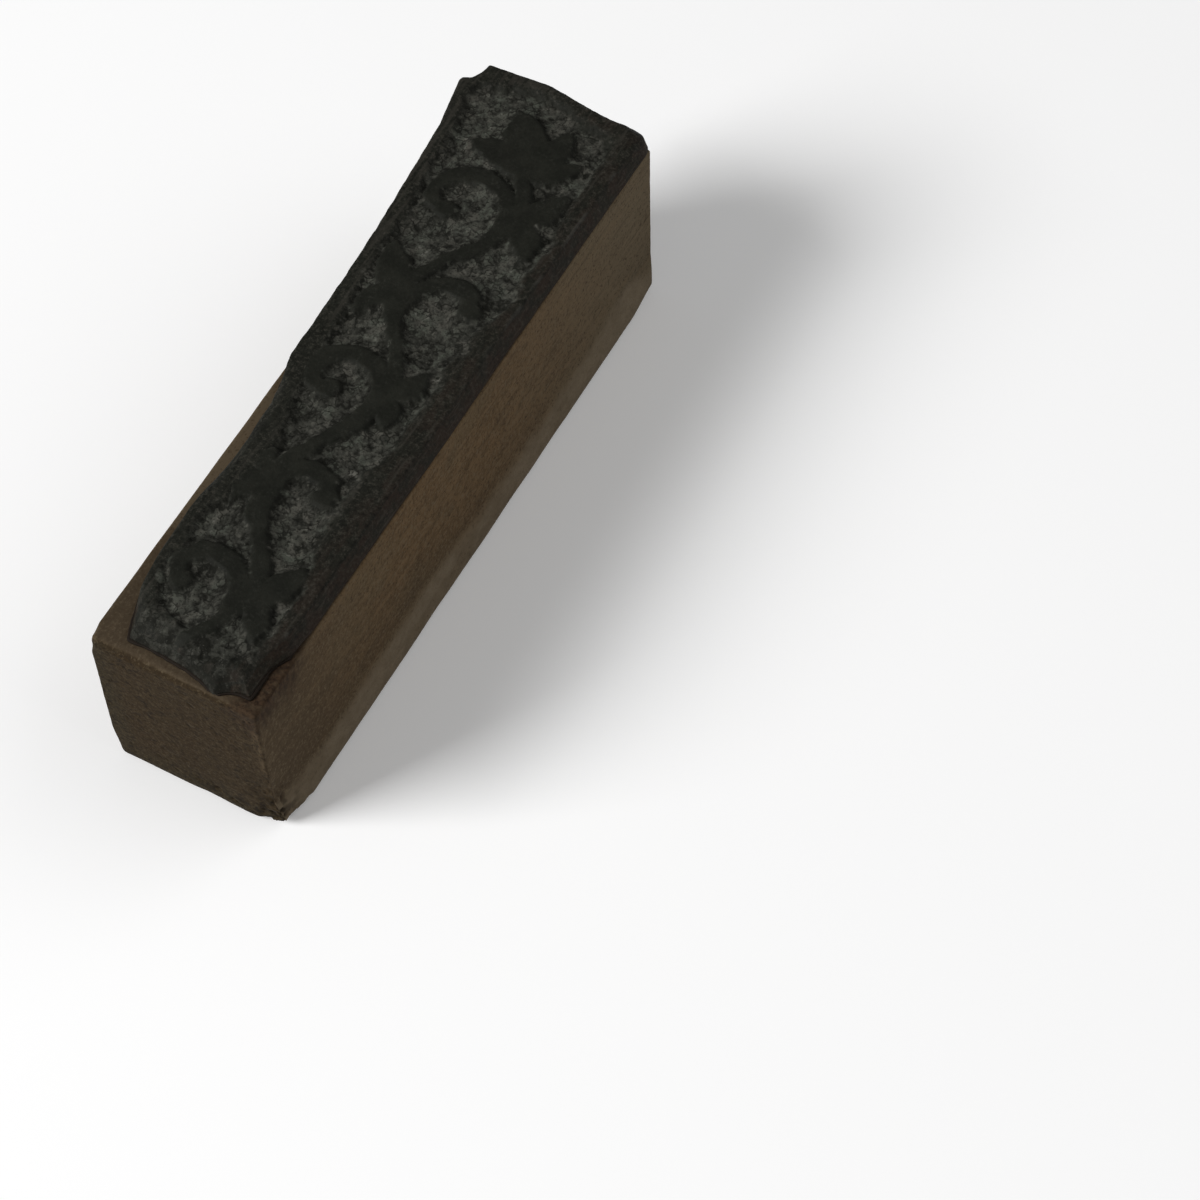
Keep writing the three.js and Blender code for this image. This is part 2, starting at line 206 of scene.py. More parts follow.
# Sheet of rubber: mesh, and the unevenness of its knife-cut edge
OUTLINE_STEP = 0.16
RAGGED_REACH = 5
RUBBER_SOFTENING = 3
GROUND_SOFTENING = 14
SIDE_ROWS = 8
LATTICE_STEP = 0.148
EDGE_WANDER = 0.06
EDGE_RAGGEDNESS = (0.07, 0.17)
WALL_ROUGHNESS = 0.06

# Sheet of rubber: carving
CARVING_DEPTH = 0.75
FLOOR_DEPTH_SHARES = (0.5, 0.95)
STROKE_WALL = 0.28
BORDER_WALL = 0.9
KNIFE_DRIFT = 0.36
KNIFE_SHIVER = 0.14
BORDER_RAGGEDNESS = (0.8, 0.3)

# Sheet of rubber: relief of the cut ground, whose flakes have two sizes
FLAKE_WARP = 0.22
BIG_FLAKE = 1.25
SMALL_FLAKE = 0.5
BIG_FLAKE_RELIEF = 0.07
SMALL_FLAKE_RELIEF = 0.06
ROUGH_RELIEF = 0.07
FRAY_RELIEF = 0.05
CRACK_DEPTH = 0.03
PIT_DEPTH = 0.07

# Sheet of rubber: the reach and the drop of its edge's bevel, where it is plain, cut, and worn near the end
EDGE_REACHES = (0.25, 1.0, 2.4)
EDGE_DROPS = (0.06, 0.4, 0.95)
FAR_CORNER_DROP = 0.35

# Sheet of rubber: places of wear and colour. A pair says where something starts and where it is full.
NEAR_WEAR = (-30, -36)
LEFT_CUT_NEAR = (-22, -18)
LEFT_CUT_FAR = (-3, -6)
FAR_CORNER_REACH = (3.2, 0.8)
DARK_FAR_BORDER = (32, 36)
DUSTY_SIDE = (2, -4)
DUSTY_FAR = (0, 22)
# Where the right side's top edge is pale: partly worn, partly a painted highlight
PALE_ARRIS_NEAR = (-26, -30)
PALE_ARRIS_FAR = (3, 12)
RED_REACH = (3.2, 0.8)
GREY_WALL_NEAR = (-33.5, -35.5)
GREY_WALL_LEFT = (8, 6)

# Ornament: a vine that winds along the middle of the face
VINE_NEAR_GAP = 3.2
VINE_FAR_GAP = 9.5
VINE_HALF_WIDTH = 0.62
VINE_SWELL = 0.36
VINE_TIP_SHARE = 0.3
VINE_BEND_STEPS = 12

# Ornament: the vine's bends, from the near end, in turn to the right and to the left. Each bend swings out
# by its own amount, and has a curl in its hollow and a leaf ahead and one behind on its outer side.
BEND_SWINGS = (3.2, 1.8, 2.2, 3.0, 2.8)
CURL_REACHES = (3.0, 2.6, 3.3, 3.4, 4.3)
CURL_RADII = (1.1, 0.9, 1.2, 1.2, 1.4)
CURL_TURNS = (300, 250, 345, 230, 330)
LEAVES_AHEAD = (5.6, 3.4, 5.0, 6.2, 6.0)
LEAVES_BEHIND = (4.6, 4.4, 3.8, 4.8, 5.4)

# Ornament: curls
CURL_THIN_HALF_WIDTH = 0.4
CURL_SWELL = 0.5
CURL_SWELL_BIAS = 0.8
CURL_TIGHTENING = 1.7
CURL_BUD_RADIUS = 1.0
CURL_STEPS = 24

# Ornament: leaves, and the tuft of leaves at the vine's far tip as a direction in degrees and a length
LEAF_SLIMNESS = 4.0
LEAF_FOOT_BIAS = 0.75
LEAF_ROUNDNESS = 0.9
LEAF_TIP_HALF_WIDTH = 0.12
LEAF_LEAN = 34.0
LEAF_BOW = 0.5
LEAF_STEPS = 12
TUFT = ((-75, 6.5), (-28, 8.5), (20, 7.0), (62, 6.0))


# Numbers and noise


def lerp(a, b, t):
    return a + (b - a) * t


def smoothstep(low, high, value):
    t = np.clip((value - low) / (high - low), 0, 1)
    return t * t * (3 - 2 * t)


def cell_value(cells, seed):
    """A fixed value from 0 to 1 for each row of three whole numbers."""
    whole = np.asarray(cells).astype(np.int64).astype(np.uint32)
    mixed = whole[..., 0] * np.uint32(73856093)
    mixed = mixed ^ (whole[..., 1] * np.uint32(19349663))
    mixed = mixed ^ (whole[..., 2] * np.uint32(83492791))
    mixed = mixed ^ np.uint32((seed * 2654435761) % 2**32)
    mixed = (mixed ^ (mixed >> np.uint32(13))) * np.uint32(1274126177)
    mixed = (mixed ^ (mixed >> np.uint32(15))) * np.uint32(2246822519)
    return (mixed >> np.uint32(8)) / 2.0**24


def noise(points, size, seed):
    """Smooth noise from -1 to 1. size is the width of its bumps, one number or one for each axis."""
    place = points / np.asarray(size, float)
    cell = np.floor(place)
    part = place - cell
    part = part**3 * (part * (part * 6 - 15) + 10)
    total = np.zeros(len(points))
    for corner in itertools.product((0, 1), repeat=3):
        weight = np.prod(np.where(corner, part, 1 - part), axis=1)
        total += weight * cell_value(cell + corner, seed)
    return 2 * total - 1


def rough_noise(points, size, seed, octaves=3):
    """Noise of several sizes on top of each other, from about -1 to 1."""
    total = np.zeros(len(points))
    share = 1.0
    for octave in range(octaves):
        total += share * noise(points, np.asarray(size, float) / 2**octave, seed + octave)
        share *= 0.5
    return total / (2 - 2 * share)


def crumbs(points, size, seed, flat=False):
    """Distances to the nearest and the next scattered spot, in spot spacings, and the nearest's own value."""
    place = points / np.asarray(size, float)
    cell = np.floor(place)
    nearest = np.full(len(points), 9.0)
    second = np.full(len(points), 9.0)
    own = np.zeros(len(points))
    layers = (0,) if flat else (-1, 0, 1)
    for offset in itertools.product((-1, 0, 1), (-1, 0, 1), layers):
        other = cell + offset
        spot = np.stack([cell_value(other, seed + axis) for axis in range(3)], -1)
        away = place - other - spot
        if flat:
            away[:, 2] = 0
        gap = np.linalg.norm(away, axis=1)
        closer = gap < nearest
        second = np.where(closer, nearest, np.minimum(second, gap))
        own = np.where(closer, cell_value(other, seed + 3), own)
        nearest = np.where(closer, gap, nearest)
    return nearest, second, own


def scattered(points, seed, size, share, edge):
    """Scattered round spots, from 0 to 1."""
    gap, _, own = crumbs(points, size, seed)
    return smoothstep(*edge, gap) * (own > 1 - share)


def with_height(points, height=0.0):
    """Flat points as 3-D points."""
    return np.column_stack([points, np.broadcast_to(height, len(points))])


# Meshes


def new_object(name, data):
    made = bpy.data.objects.new(name, data)
    bpy.context.scene.collection.objects.link(made)
    return made


def new_mesh(name, vertices, faces, material):
    """An object whose points are given in millimetres."""
    mesh = bpy.data.meshes.new(name)
    mesh.from_pydata((np.asarray(vertices) * MM).tolist(), [], faces)
    mesh.update()
    mesh.materials.append(material)
    return new_object(name, mesh)


def new_piece(name, vertices, faces, material, node):
    """A smooth mesh that stands for a node of the frame."""
    piece = new_mesh(name, vertices, faces, material)
    piece.data.shade_smooth()
    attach(piece, "root")
    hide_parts(node)
    return piece


def paint(piece, name, columns):
    """Stores up to three values for each vertex as a colour."""
    attribute = piece.data.attributes.new(name, "FLOAT_COLOR", "POINT")
    colours = np.ones((len(piece.data.vertices), 4), np.float32)
    for index, column in enumerate(columns):
        colours[:, index] = np.clip(column, 0, 1)
    attribute.data.foreach_set("color", colours.ravel())


def ring_quads(upper, lower, count):
    """Four-sided faces between two rings of points, which start at the numbers upper and lower."""
    after = [(i + 1) % count for i in range(count)]
    return [[upper + j, upper + i, lower + i, lower + j] for i, j in enumerate(after)]


def point_normals(points, faces):
    """Outward directions at the points of a mesh of four-sided faces."""
    corners = points[faces]
    face_normals = np.cross(corners[:, 2] - corners[:, 0], corners[:, 3] - corners[:, 1])
    normals = np.zeros_like(points)
    for corner in range(4):
        np.add.at(normals, faces[:, corner], face_normals)
    return normals / np.linalg.norm(normals, axis=1, keepdims=True)


# Wooden block


def box_lattice(cells):
    """The surface of a box of cells: its points as whole numbers, and its four-sided faces."""
    points = []
    faces = []
    start = 0
    for axis in range(3):
        u = (axis + 1) % 3
        v = (axis + 2) % 3
        across, up = np.meshgrid(np.arange(cells[u] + 1), np.arange(cells[v] + 1), indexing="ij")
        index = start + np.arange(across.size).reshape(across.shape)
        quads = np.stack([index[:-1, :-1], index[1:, :-1], index[1:, 1:], index[:-1, 1:]], -1).reshape(-1, 4)
        for end in (0, 1):
            side = np.empty((across.size, 3), int)
            side[:, axis] = end * cells[axis]
            side[:, u] = across.ravel()
            side[:, v] = up.ravel()
            points.append(side)
            faces.append((quads if end else quads[:, ::-1]) + end * across.size)
        start += 2 * across.size
    unique, inverse = np.unique(np.concatenate(points), axis=0, return_inverse=True)
    return unique, inverse.reshape(-1)[np.concatenate(faces)]


def eased(share):
    """Shares from 0 to 1, drawn closer together towards both ends."""
    return share - BLOCK_EASE * np.sin(2 * np.pi * share) / (2 * np.pi)


def along_block(y, values):
    """A value that runs evenly from the near end to the far end."""
    return lerp(values[0], values[1], (y - NEAR_END) / BLOCK_LENGTH)


def left_reach(y, z=BLOCK_TOP):
    return along_block(y, LEFT_TOP_REACH) + LEFT_BACK_SPREAD * (1 - z / BLOCK_TOP)


def right_top_reach(y):
    return along_block(y, RIGHT_TOP_REACH)


def right_reach(y, z):
    top = right_top_reach(y)
    groove = top - GROOVE_DEPTH
    proud = along_block(y, LIP_PROUD) * (1 - smoothstep(FAR_END - LIP_FADE_LENGTH, FAR_END, y))
    low = lerp(top + proud, groove, smoothstep(LIP_HEIGHT, GROOVE_HEIGHT, z))
    high = lerp(groove, top, (z - GROOVE_HEIGHT) / (BLOCK_TOP - GROOVE_HEIGHT))
    return np.where(z < GROOVE_HEIGHT, low, high)


def near_face(x, z=BLOCK_TOP):
    skew = END_SKEW[0] * x / (LEFT_TOP_REACH[0] + RIGHT_TOP_REACH[0])
    return NEAR_END - skew + END_LEAN[0] * (1 - z / BLOCK_TOP)


def far_face(x, z=BLOCK_TOP):
    skew = END_SKEW[1] * x / (LEFT_TOP_REACH[1] + RIGHT_TOP_REACH[1])
    return FAR_END + skew - END_LEAN[1] * (1 - z / BLOCK_TOP)


def round_edges(points, low, high, radius):
    """Moves the surface points of a box onto rounded edges. radius is one value for each point."""
    inner = np.clip(points, low + radius[:, None], high - radius[:, None])
    out = points - inner
    return inner + out / np.linalg.norm(out, axis=1, keepdims=True) * radius[:, None]


def edge_radius(points, width):
    """Worn edges: wide along the back and on top of the near end's left, and tight elsewhere."""
    x, y, z = points.T
    along = lerp(BACK_EDGE_RADIUS, TOP_EDGE_RADIUS, smoothstep(*SIDE_EDGE_HEIGHTS, z))
    near = lerp(*NEAR_EDGE_RADIUS, smoothstep(0.3, 1, x / width))
    near *= (1 - smoothstep(*NEAR_EDGE_LENGTH, y - NEAR_END)) * smoothstep(*NEAR_EDGE_HEIGHT, BLOCK_TOP - z)
    return np.maximum(along, near) * (1 + EDGE_UNEVENNESS * rough_noise(points, 5, 11))


def corner_wear(points):
    """Where the near right corner has crumbled, from 0 to 1."""
    away = np.hypot(points[:, 0] - RIGHT_TOP_REACH[0], points[:, 1] - NEAR_END)
    height = 1 - np.clip(points[:, 2] / CORNER_WEAR_HEIGHT, 0, 1)
    return np.clip(1 - away / CORNER_WEAR_REACH, 0, 1) * height


def lip_chip(points):
    """Where the lip has broken off at its near end, from 0 to 1."""
    ragged = 0.5 * rough_noise(points, 1.5, 21)
    along = 1 - smoothstep(CHIP_LENGTH - 0.9, CHIP_LENGTH, points[:, 1] - NEAR_END + ragged)
    height = 1 - smoothstep(CHIP_HEIGHT - 1.5, CHIP_HEIGHT, points[:, 2] + ragged)
    return along * height * smoothstep(*CHIP_SIDE, points[:, 0])


def facing(normals, axis, start=0.5, full=0.9):
    """Where the surface faces along an axis, from 0 to 1."""
    return smoothstep(start, full, normals[:, axis])


def block_surface():
    """The block's points and faces before the wear of its surface."""
    lattice, faces = box_lattice(BLOCK_CELLS)
    share = eased(lattice / np.array(BLOCK_CELLS))
    width = LEFT_TOP_REACH[0] + RIGHT_TOP_REACH[0]
    low = np.array([0, NEAR_END, 0])
    high = np.array([width, FAR_END, BLOCK_TOP])
    points = lerp(low, high, share)
    points = round_edges(points, low, high, edge_radius(points, width))
    x, y, z = points.T
    x = lerp(-left_reach(y, z), right_reach(y, z), x / width)
    y = lerp(near_face(x, z), far_face(x, z), (y - NEAR_END) / BLOCK_LENGTH)
    return np.column_stack([x, y, z]), faces


def crumbled(points, normals):
    """Where the near right corner and the near end's foot beside it have crumbled, from 0 to 1."""
    x, _, z = points.T
    foot = facing(-normals, 1, 0.6) * (1 - smoothstep(*CRUMBLED_FOOT_HEIGHT, z))
    foot *= smoothstep(*CRUMBLED_FOOT_START, x)
    return np.clip(1.6 * corner_wear(points) + foot, 0, 1)


def worn_depth(points, end, rough_place, holes, pores):
    """How much of the wood has worn away at each point."""
    corner = corner_wear(points)
    _, _, chunk = crumbs(points, CHUNK_SIZE, 31)
    depth = CORNER_WEAR_DEPTH * corner + CHUNK_DEPTH * chunk * smoothstep(0.03, 0.4, corner)
    depth += CHIP_DEPTH * lip_chip(points) + HOLE_DEPTH * holes + PORE_DEPTH * pores
    depth += ROUGH_DEPTH * rough_place * (1 + rough_noise(points, 0.8, 55))
    depth += GRAIN_DEPTH * (1 + rough_noise(points, (0.5, 9, 0.5), 41)) * (1 - end)
    depth += SAW_DEPTH * (1 + rough_noise(points, (6, 6, 0.5), 45)) * end
    return depth + SAG_DEPTH * (1 + rough_noise(points, 7, 51))


def lip_band(points, y, z, right):
    """The paler band on the lip, partly paler wood and partly a painted highlight where the lip faces up, and
    the painted shade above it, where the groove faces down, from 0 to 1.
    """
    height = BAND_HEIGHT + 0.5 * rough_noise(points, 9, 61) + 0.25 * rough_noise(points, 1.3, 63)
    height += BAND_RISE * smoothstep(*BAND_RISE_PLACE, y) - BAND_FALL * smoothstep(*BAND_FALL_PLACE, y)
    band = right * (1 - smoothstep(height - 1.3, height + 0.5, z))
    band *= 1 - 0.3 * smoothstep(0.1, 0.5, rough_noise(points, (2, 4, 2), 67))
    shade = right * smoothstep(height + SHADE_REACH, height + 0.4, z) * (1 - band)
    return band, shade * (0.45 + 0.75 * rough_noise(points, (5, 12, 4), 65))


def corner_fibre(points, x, y, z):
    """Torn pale fibres down the near right edge."""
    away = np.hypot(x - RIGHT_TOP_REACH[0], y - near_face(x, z)) + 0.5 * rough_noise(points, (1, 1, 1.6), 71)
    return smoothstep(*FIBRE_REACH, away) * smoothstep(*FIBRE_HEIGHT, z)


def corner_stain(points, x, y, z):
    """The brown stain beside the near right corner of the rubber."""
    away = np.hypot(x - STAIN_CENTRE[0], (y - STAIN_CENTRE[1]) / STAIN_STRETCH)
    away += 0.9 * rough_noise(points, 2.5, 75)
    height = z + 1.2 * rough_noise(points, (1.2, 1.2, 3), 77)
    return smoothstep(*STAIN_REACH, away) * smoothstep(*STAIN_HEIGHT, height)


def paler_places(points, x, y, z, top, band):
    """Where the wood is paler: a stretch of its top, the lip's near end, and the near end's top edge, which
    is worn and carries a painted highlight.
    """
    stretch = smoothstep(3, 0, np.abs(y - PALE_TOP_MIDDLE) - PALE_TOP_HALF_LENGTH)
    # The near end's top edge: worn, with a painted highlight along it
    edge = smoothstep(*PALE_ARRIS_WIDTH, np.hypot(y - near_face(x), z - BLOCK_TOP))
    edge *= smoothstep(*PALE_ARRIS_REACH, np.abs(x - PALE_ARRIS_MIDDLE))
    edge *= smoothstep(-0.4, 0.2, rough_noise(points, (1.2, 1, 1), 73))
    return top * stretch * (x < 0) + band * smoothstep(*PALE_LIP, y) + edge


def wooden_block():
    surface, faces = block_surface()
    x, y, z = surface.T
    normals = point_normals(surface, faces)
    end = normals[:, 1] ** 2
    rough_place = crumbled(surface, normals)
    holes = scattered(surface, 35, **HOLES) * rough_place
    pores = scattered(surface, 39, **PORES) * smoothstep(0.6, 0.9, end)
    pocks = smoothstep(0.1, 0.35, rough_noise(surface, (0.8, 0.8, 0.6), 47, 2)) * rough_place
    points = surface - normals * worn_depth(surface, end, rough_place, holes, pores)[:, None]
    points[:, 2] = np.maximum(points[:, 2], 0)
    top = facing(normals, 2, 0.7, 0.95)
    near = facing(-normals, 1, 0.6)
    band, shade = lip_band(points, y, z, facing(normals, 0))
    fibre = np.maximum(corner_fibre(points, x, y, z), 0.5 * corner_wear(surface))
    stain = np.maximum(corner_stain(points, x, y, z), holes)
    grime = near * np.maximum(smoothstep(*GRIME_LEFT, x), smoothstep(*GRIME_HEIGHT, z))
    piece = new_piece("worn_block", points, faces.tolist(), wood_material(), "wooden_block")
    # wood_place's third share is the lip band, partly a painted highlight; wood_tint's first share is painted
    # shade above it
    paint(piece, "wood_place", [end, top + 0.75 * facing(-normals, 0), band])
    paint(piece, "wood_wear", [fibre, stain, np.maximum(pores, pocks)])
    # wood_tint's third share includes a painted highlight on the near end's top edge
    paint(piece, "wood_tint", [shade, grime, paler_places(points, x, y, z, top, band)])


# Sheet of rubber: outline


def beside_top(side, share, reach):
    """A point beside the block's top, from its share of the way along a side and its reach past it."""
    if side == "near":
        x = lerp(-left_reach(NEAR_END), right_top_reach(NEAR_END), share)
        return x, near_face(x) - reach
    if side == "far":
        x = lerp(-left_reach(FAR_END), right_top_reach(FAR_END), share)
        return x, far_face(x) + reach
    y = lerp(NEAR_END, FAR_END, share)
    return (-left_reach(y) - reach if side == "left" else right_top_reach(y) + reach), y


def outline_around(edge):
    """An outline's points, and the side that follows each."""
    points = [beside_top(side, *place) for side, places in edge.items() for place in places]
    sides = [side for side, places in edge.items() for _ in places]
    return np.array(points), sides


def cross_2d(a, b):
    return a[:, 0] * b[:, 1] - a[:, 1] * b[:, 0]


def inset_outline(outline, distances):
    """Moves each edge of a counter-clockwise outline inwards by its own distance."""
    along = np.roll(outline, -1, axis=0) - outline
    along /= np.linalg.norm(along, axis=1, keepdims=True)
    inward = np.column_stack([-along[:, 1], along[:, 0]])
    start = outline + inward * np.asarray(distances)[:, None]
    before_start = np.roll(start, 1, axis=0)
    before_along = np.roll(along, 1, axis=0)
    reach = cross_2d(start - before_start, along) / cross_2d(before_along, along)
    return before_start + before_along * reach[:, None]


def dense_outline(corners, counts, softening):
    """An outline with several points along each edge, softened at its corners."""
    after = np.roll(corners, -1, axis=0)
    runs = [lerp(a, b, (np.arange(count) / count)[:, None]) for a, b, count in zip(corners, after, counts)]
    outline = np.concatenate(runs)
    for _ in range(softening):
        outline = (np.roll(outline, 1, axis=0) + 2 * outline + np.roll(outline, -1, axis=0)) / 4
    return outline


def edge_counts(corners, step):
    """How many steps each edge of an outline takes."""
    lengths = np.linalg.norm(np.roll(corners, -1, axis=0) - corners, axis=1)
    return np.maximum(2, np.round(lengths / step)).astype(int)


def outward(outline, reach=1):
    """Directions out of a counter-clockwise outline, smoothed over a reach of points each way."""
    along = np.roll(outline, -reach, axis=0) - np.roll(outline, reach, axis=0)
    along /= np.linalg.norm(along, axis=1, keepdims=True)
    return np.column_stack([along[:, 1], -along[:, 0]])


def gap_to_outline(points, outline):
    """Distance from each point in to the outline, and below 0 outside it."""
    after = np.roll(outline, -1, axis=0)
    nearest = np.full(len(points), np.inf)
    inside = np.zeros(len(points), bool)
    for a, b in zip(outline, after):
        run = b - a
        share = np.clip((points - a) @ run / (run @ run), 0, 1)
        nearest = np.minimum(nearest, np.linalg.norm(points - a - share[:, None] * run, axis=1))
        if a[1] != b[1]:
            spans = (a[1] > points[:, 1]) != (b[1] > points[:, 1])
            crossing = a[0] + (points[:, 1] - a[1]) * run[0] / run[1]
            inside ^= spans & (points[:, 0] < crossing)
    return np.where(inside, nearest, -nearest)


# Ornament

BEND_LENGTH = (BLOCK_LENGTH - VINE_NEAR_GAP - VINE_FAR_GAP) / len(BEND_SWINGS)
STROKE_REACH = 2.0


def bend_side(number):
    return 1 if number % 2 == 0 else -1


def bend_start(number):
    return NEAR_END + VINE_NEAR_GAP + BEND_LENGTH * number


def vine_stroke():
    """The vine starts as a thin tip at the near end."""
    run = np.arange(len(BEND_SWINGS) * VINE_BEND_STEPS + 1) / VINE_BEND_STEPS
    number = np.minimum(run.astype(int), len(BEND_SWINGS) - 1)
    wave = np.sin(np.pi * (run - number))
    swing = np.array([bend_side(i) * BEND_SWINGS[i] for i in number])
    centres = np.column_stack([swing * wave, bend_start(run)])
    return centres, (VINE_HALF_WIDTH + VINE_SWELL * wave**2) * np.minimum(1, VINE_TIP_SHARE + run)


def curl_stroke(number):
    """A curl leaves the vine where a bend begins, and winds in round the middle of the bend's hollow."""
    side = bend_side(number)
    middle = np.array([-side * CURL_REACHES[number], bend_start(number) + BEND_LENGTH / 2])
    start = np.array([0, bend_start(number)]) - middle
    start_angle = math.atan2(start[1], side * start[0])
    t = np.linspace(0, 1, CURL_STEPS + 1)
    radius = lerp(CURL_RADII[number], np.linalg.norm(start), (1 - t) ** CURL_TIGHTENING)
    angle = start_angle + math.radians(CURL_TURNS[number]) * t
    turned = np.column_stack([side * np.cos(angle), np.sin(angle)])
    half_widths = CURL_THIN_HALF_WIDTH + CURL_SWELL * np.sin(np.pi * t**CURL_SWELL_BIAS)
    return middle + turned * radius[:, None], half_widths


def leaf_stroke(foot, degrees, length, bow):
    """A leaf is full near its foot and drawn out to its tip. Its direction turns from +Y towards +X."""
    direction = math.radians(degrees)
    along = np.array([math.sin(direction), math.cos(direction)])
    across = np.array([along[1], -along[0]])
    t = np.linspace(0, 1, LEAF_STEPS + 1)
    centres = foot + along * (length * t)[:, None] + across * (bow * np.sin(np.pi * t))[:, None]
    full = np.sin(np.pi * t**LEAF_FOOT_BIAS) ** LEAF_ROUNDNESS
    return centres, LEAF_TIP_HALF_WIDTH + length / LEAF_SLIMNESS * full


def ornament_strokes():
    """Every raised stroke as its centre points and its half width at each."""
    strokes = [vine_stroke()]
    for number, swing in enumerate(BEND_SWINGS):
        side = bend_side(number)
        foot = np.array([side * swing, bend_start(number) + BEND_LENGTH / 2])
        curl = curl_stroke(number)
        bud = np.stack([curl[0][-1], curl[0][-1] + (0, 0.01)])
        strokes += [curl, (bud, np.full(2, CURL_BUD_RADIUS))]
        strokes.append(leaf_stroke(foot, side * LEAF_LEAN, LEAVES_AHEAD[number], side * LEAF_BOW))
        strokes.append(leaf_stroke(foot, 180 - side * LEAF_LEAN, LEAVES_BEHIND[number], -side * LEAF_BOW))
    tip = np.array([0, bend_start(len(BEND_SWINGS))])
    return strokes + [leaf_stroke(tip, degrees, length, LEAF_BOW) for degrees, length in TUFT]


def gap_to_strokes(points, strokes):
    """Distance from each point to the nearest stroke's edge, up to the reach, and below 0 on the stroke."""
    nearest = np.full(len(points), STROKE_REACH)
    for centres, half_widths in strokes:
        margin = half_widths.max() + STROKE_REACH
        low = centres.min(axis=0) - margin
        high = centres.max(axis=0) + margin
        close = ((points > low) & (points < high)).all(axis=1)
        part = points[close]
        best = nearest[close]
        for i in range(len(centres) - 1):
            run = centres[i + 1] - centres[i]
            share = np.clip((part - centres[i]) @ run / (run @ run), 0, 1)
            half = lerp(half_widths[i], half_widths[i + 1], share)
            gap = np.linalg.norm(part - centres[i] - share[:, None] * run, axis=1) - half
            best = np.minimum(best, gap)
        nearest[close] = best
    return nearest


# Sheet of rubber: carving


def shaken(points):
    """Places moved a little to and fro, as a hand-held knife wanders."""
    flat = with_height(points)
    drift = np.column_stack([rough_noise(flat, 2.6, seed) for seed in (61, 71)])
    shiver = np.column_stack([noise(flat, 0.8, seed) for seed in (65, 75)])
    return points + KNIFE_DRIFT * drift + KNIFE_SHIVER * shiver


def border_gap(points, ground):
    """Distance in from the ragged edge of the ground, below 0 on the border."""
    flat = with_height(points)
    wide, fine = BORDER_RAGGEDNESS
    gap = gap_to_outline(points, ground)
    return gap + wide * rough_noise(flat, 2.6, 81) + fine * rough_noise(flat, 0.7, 85)


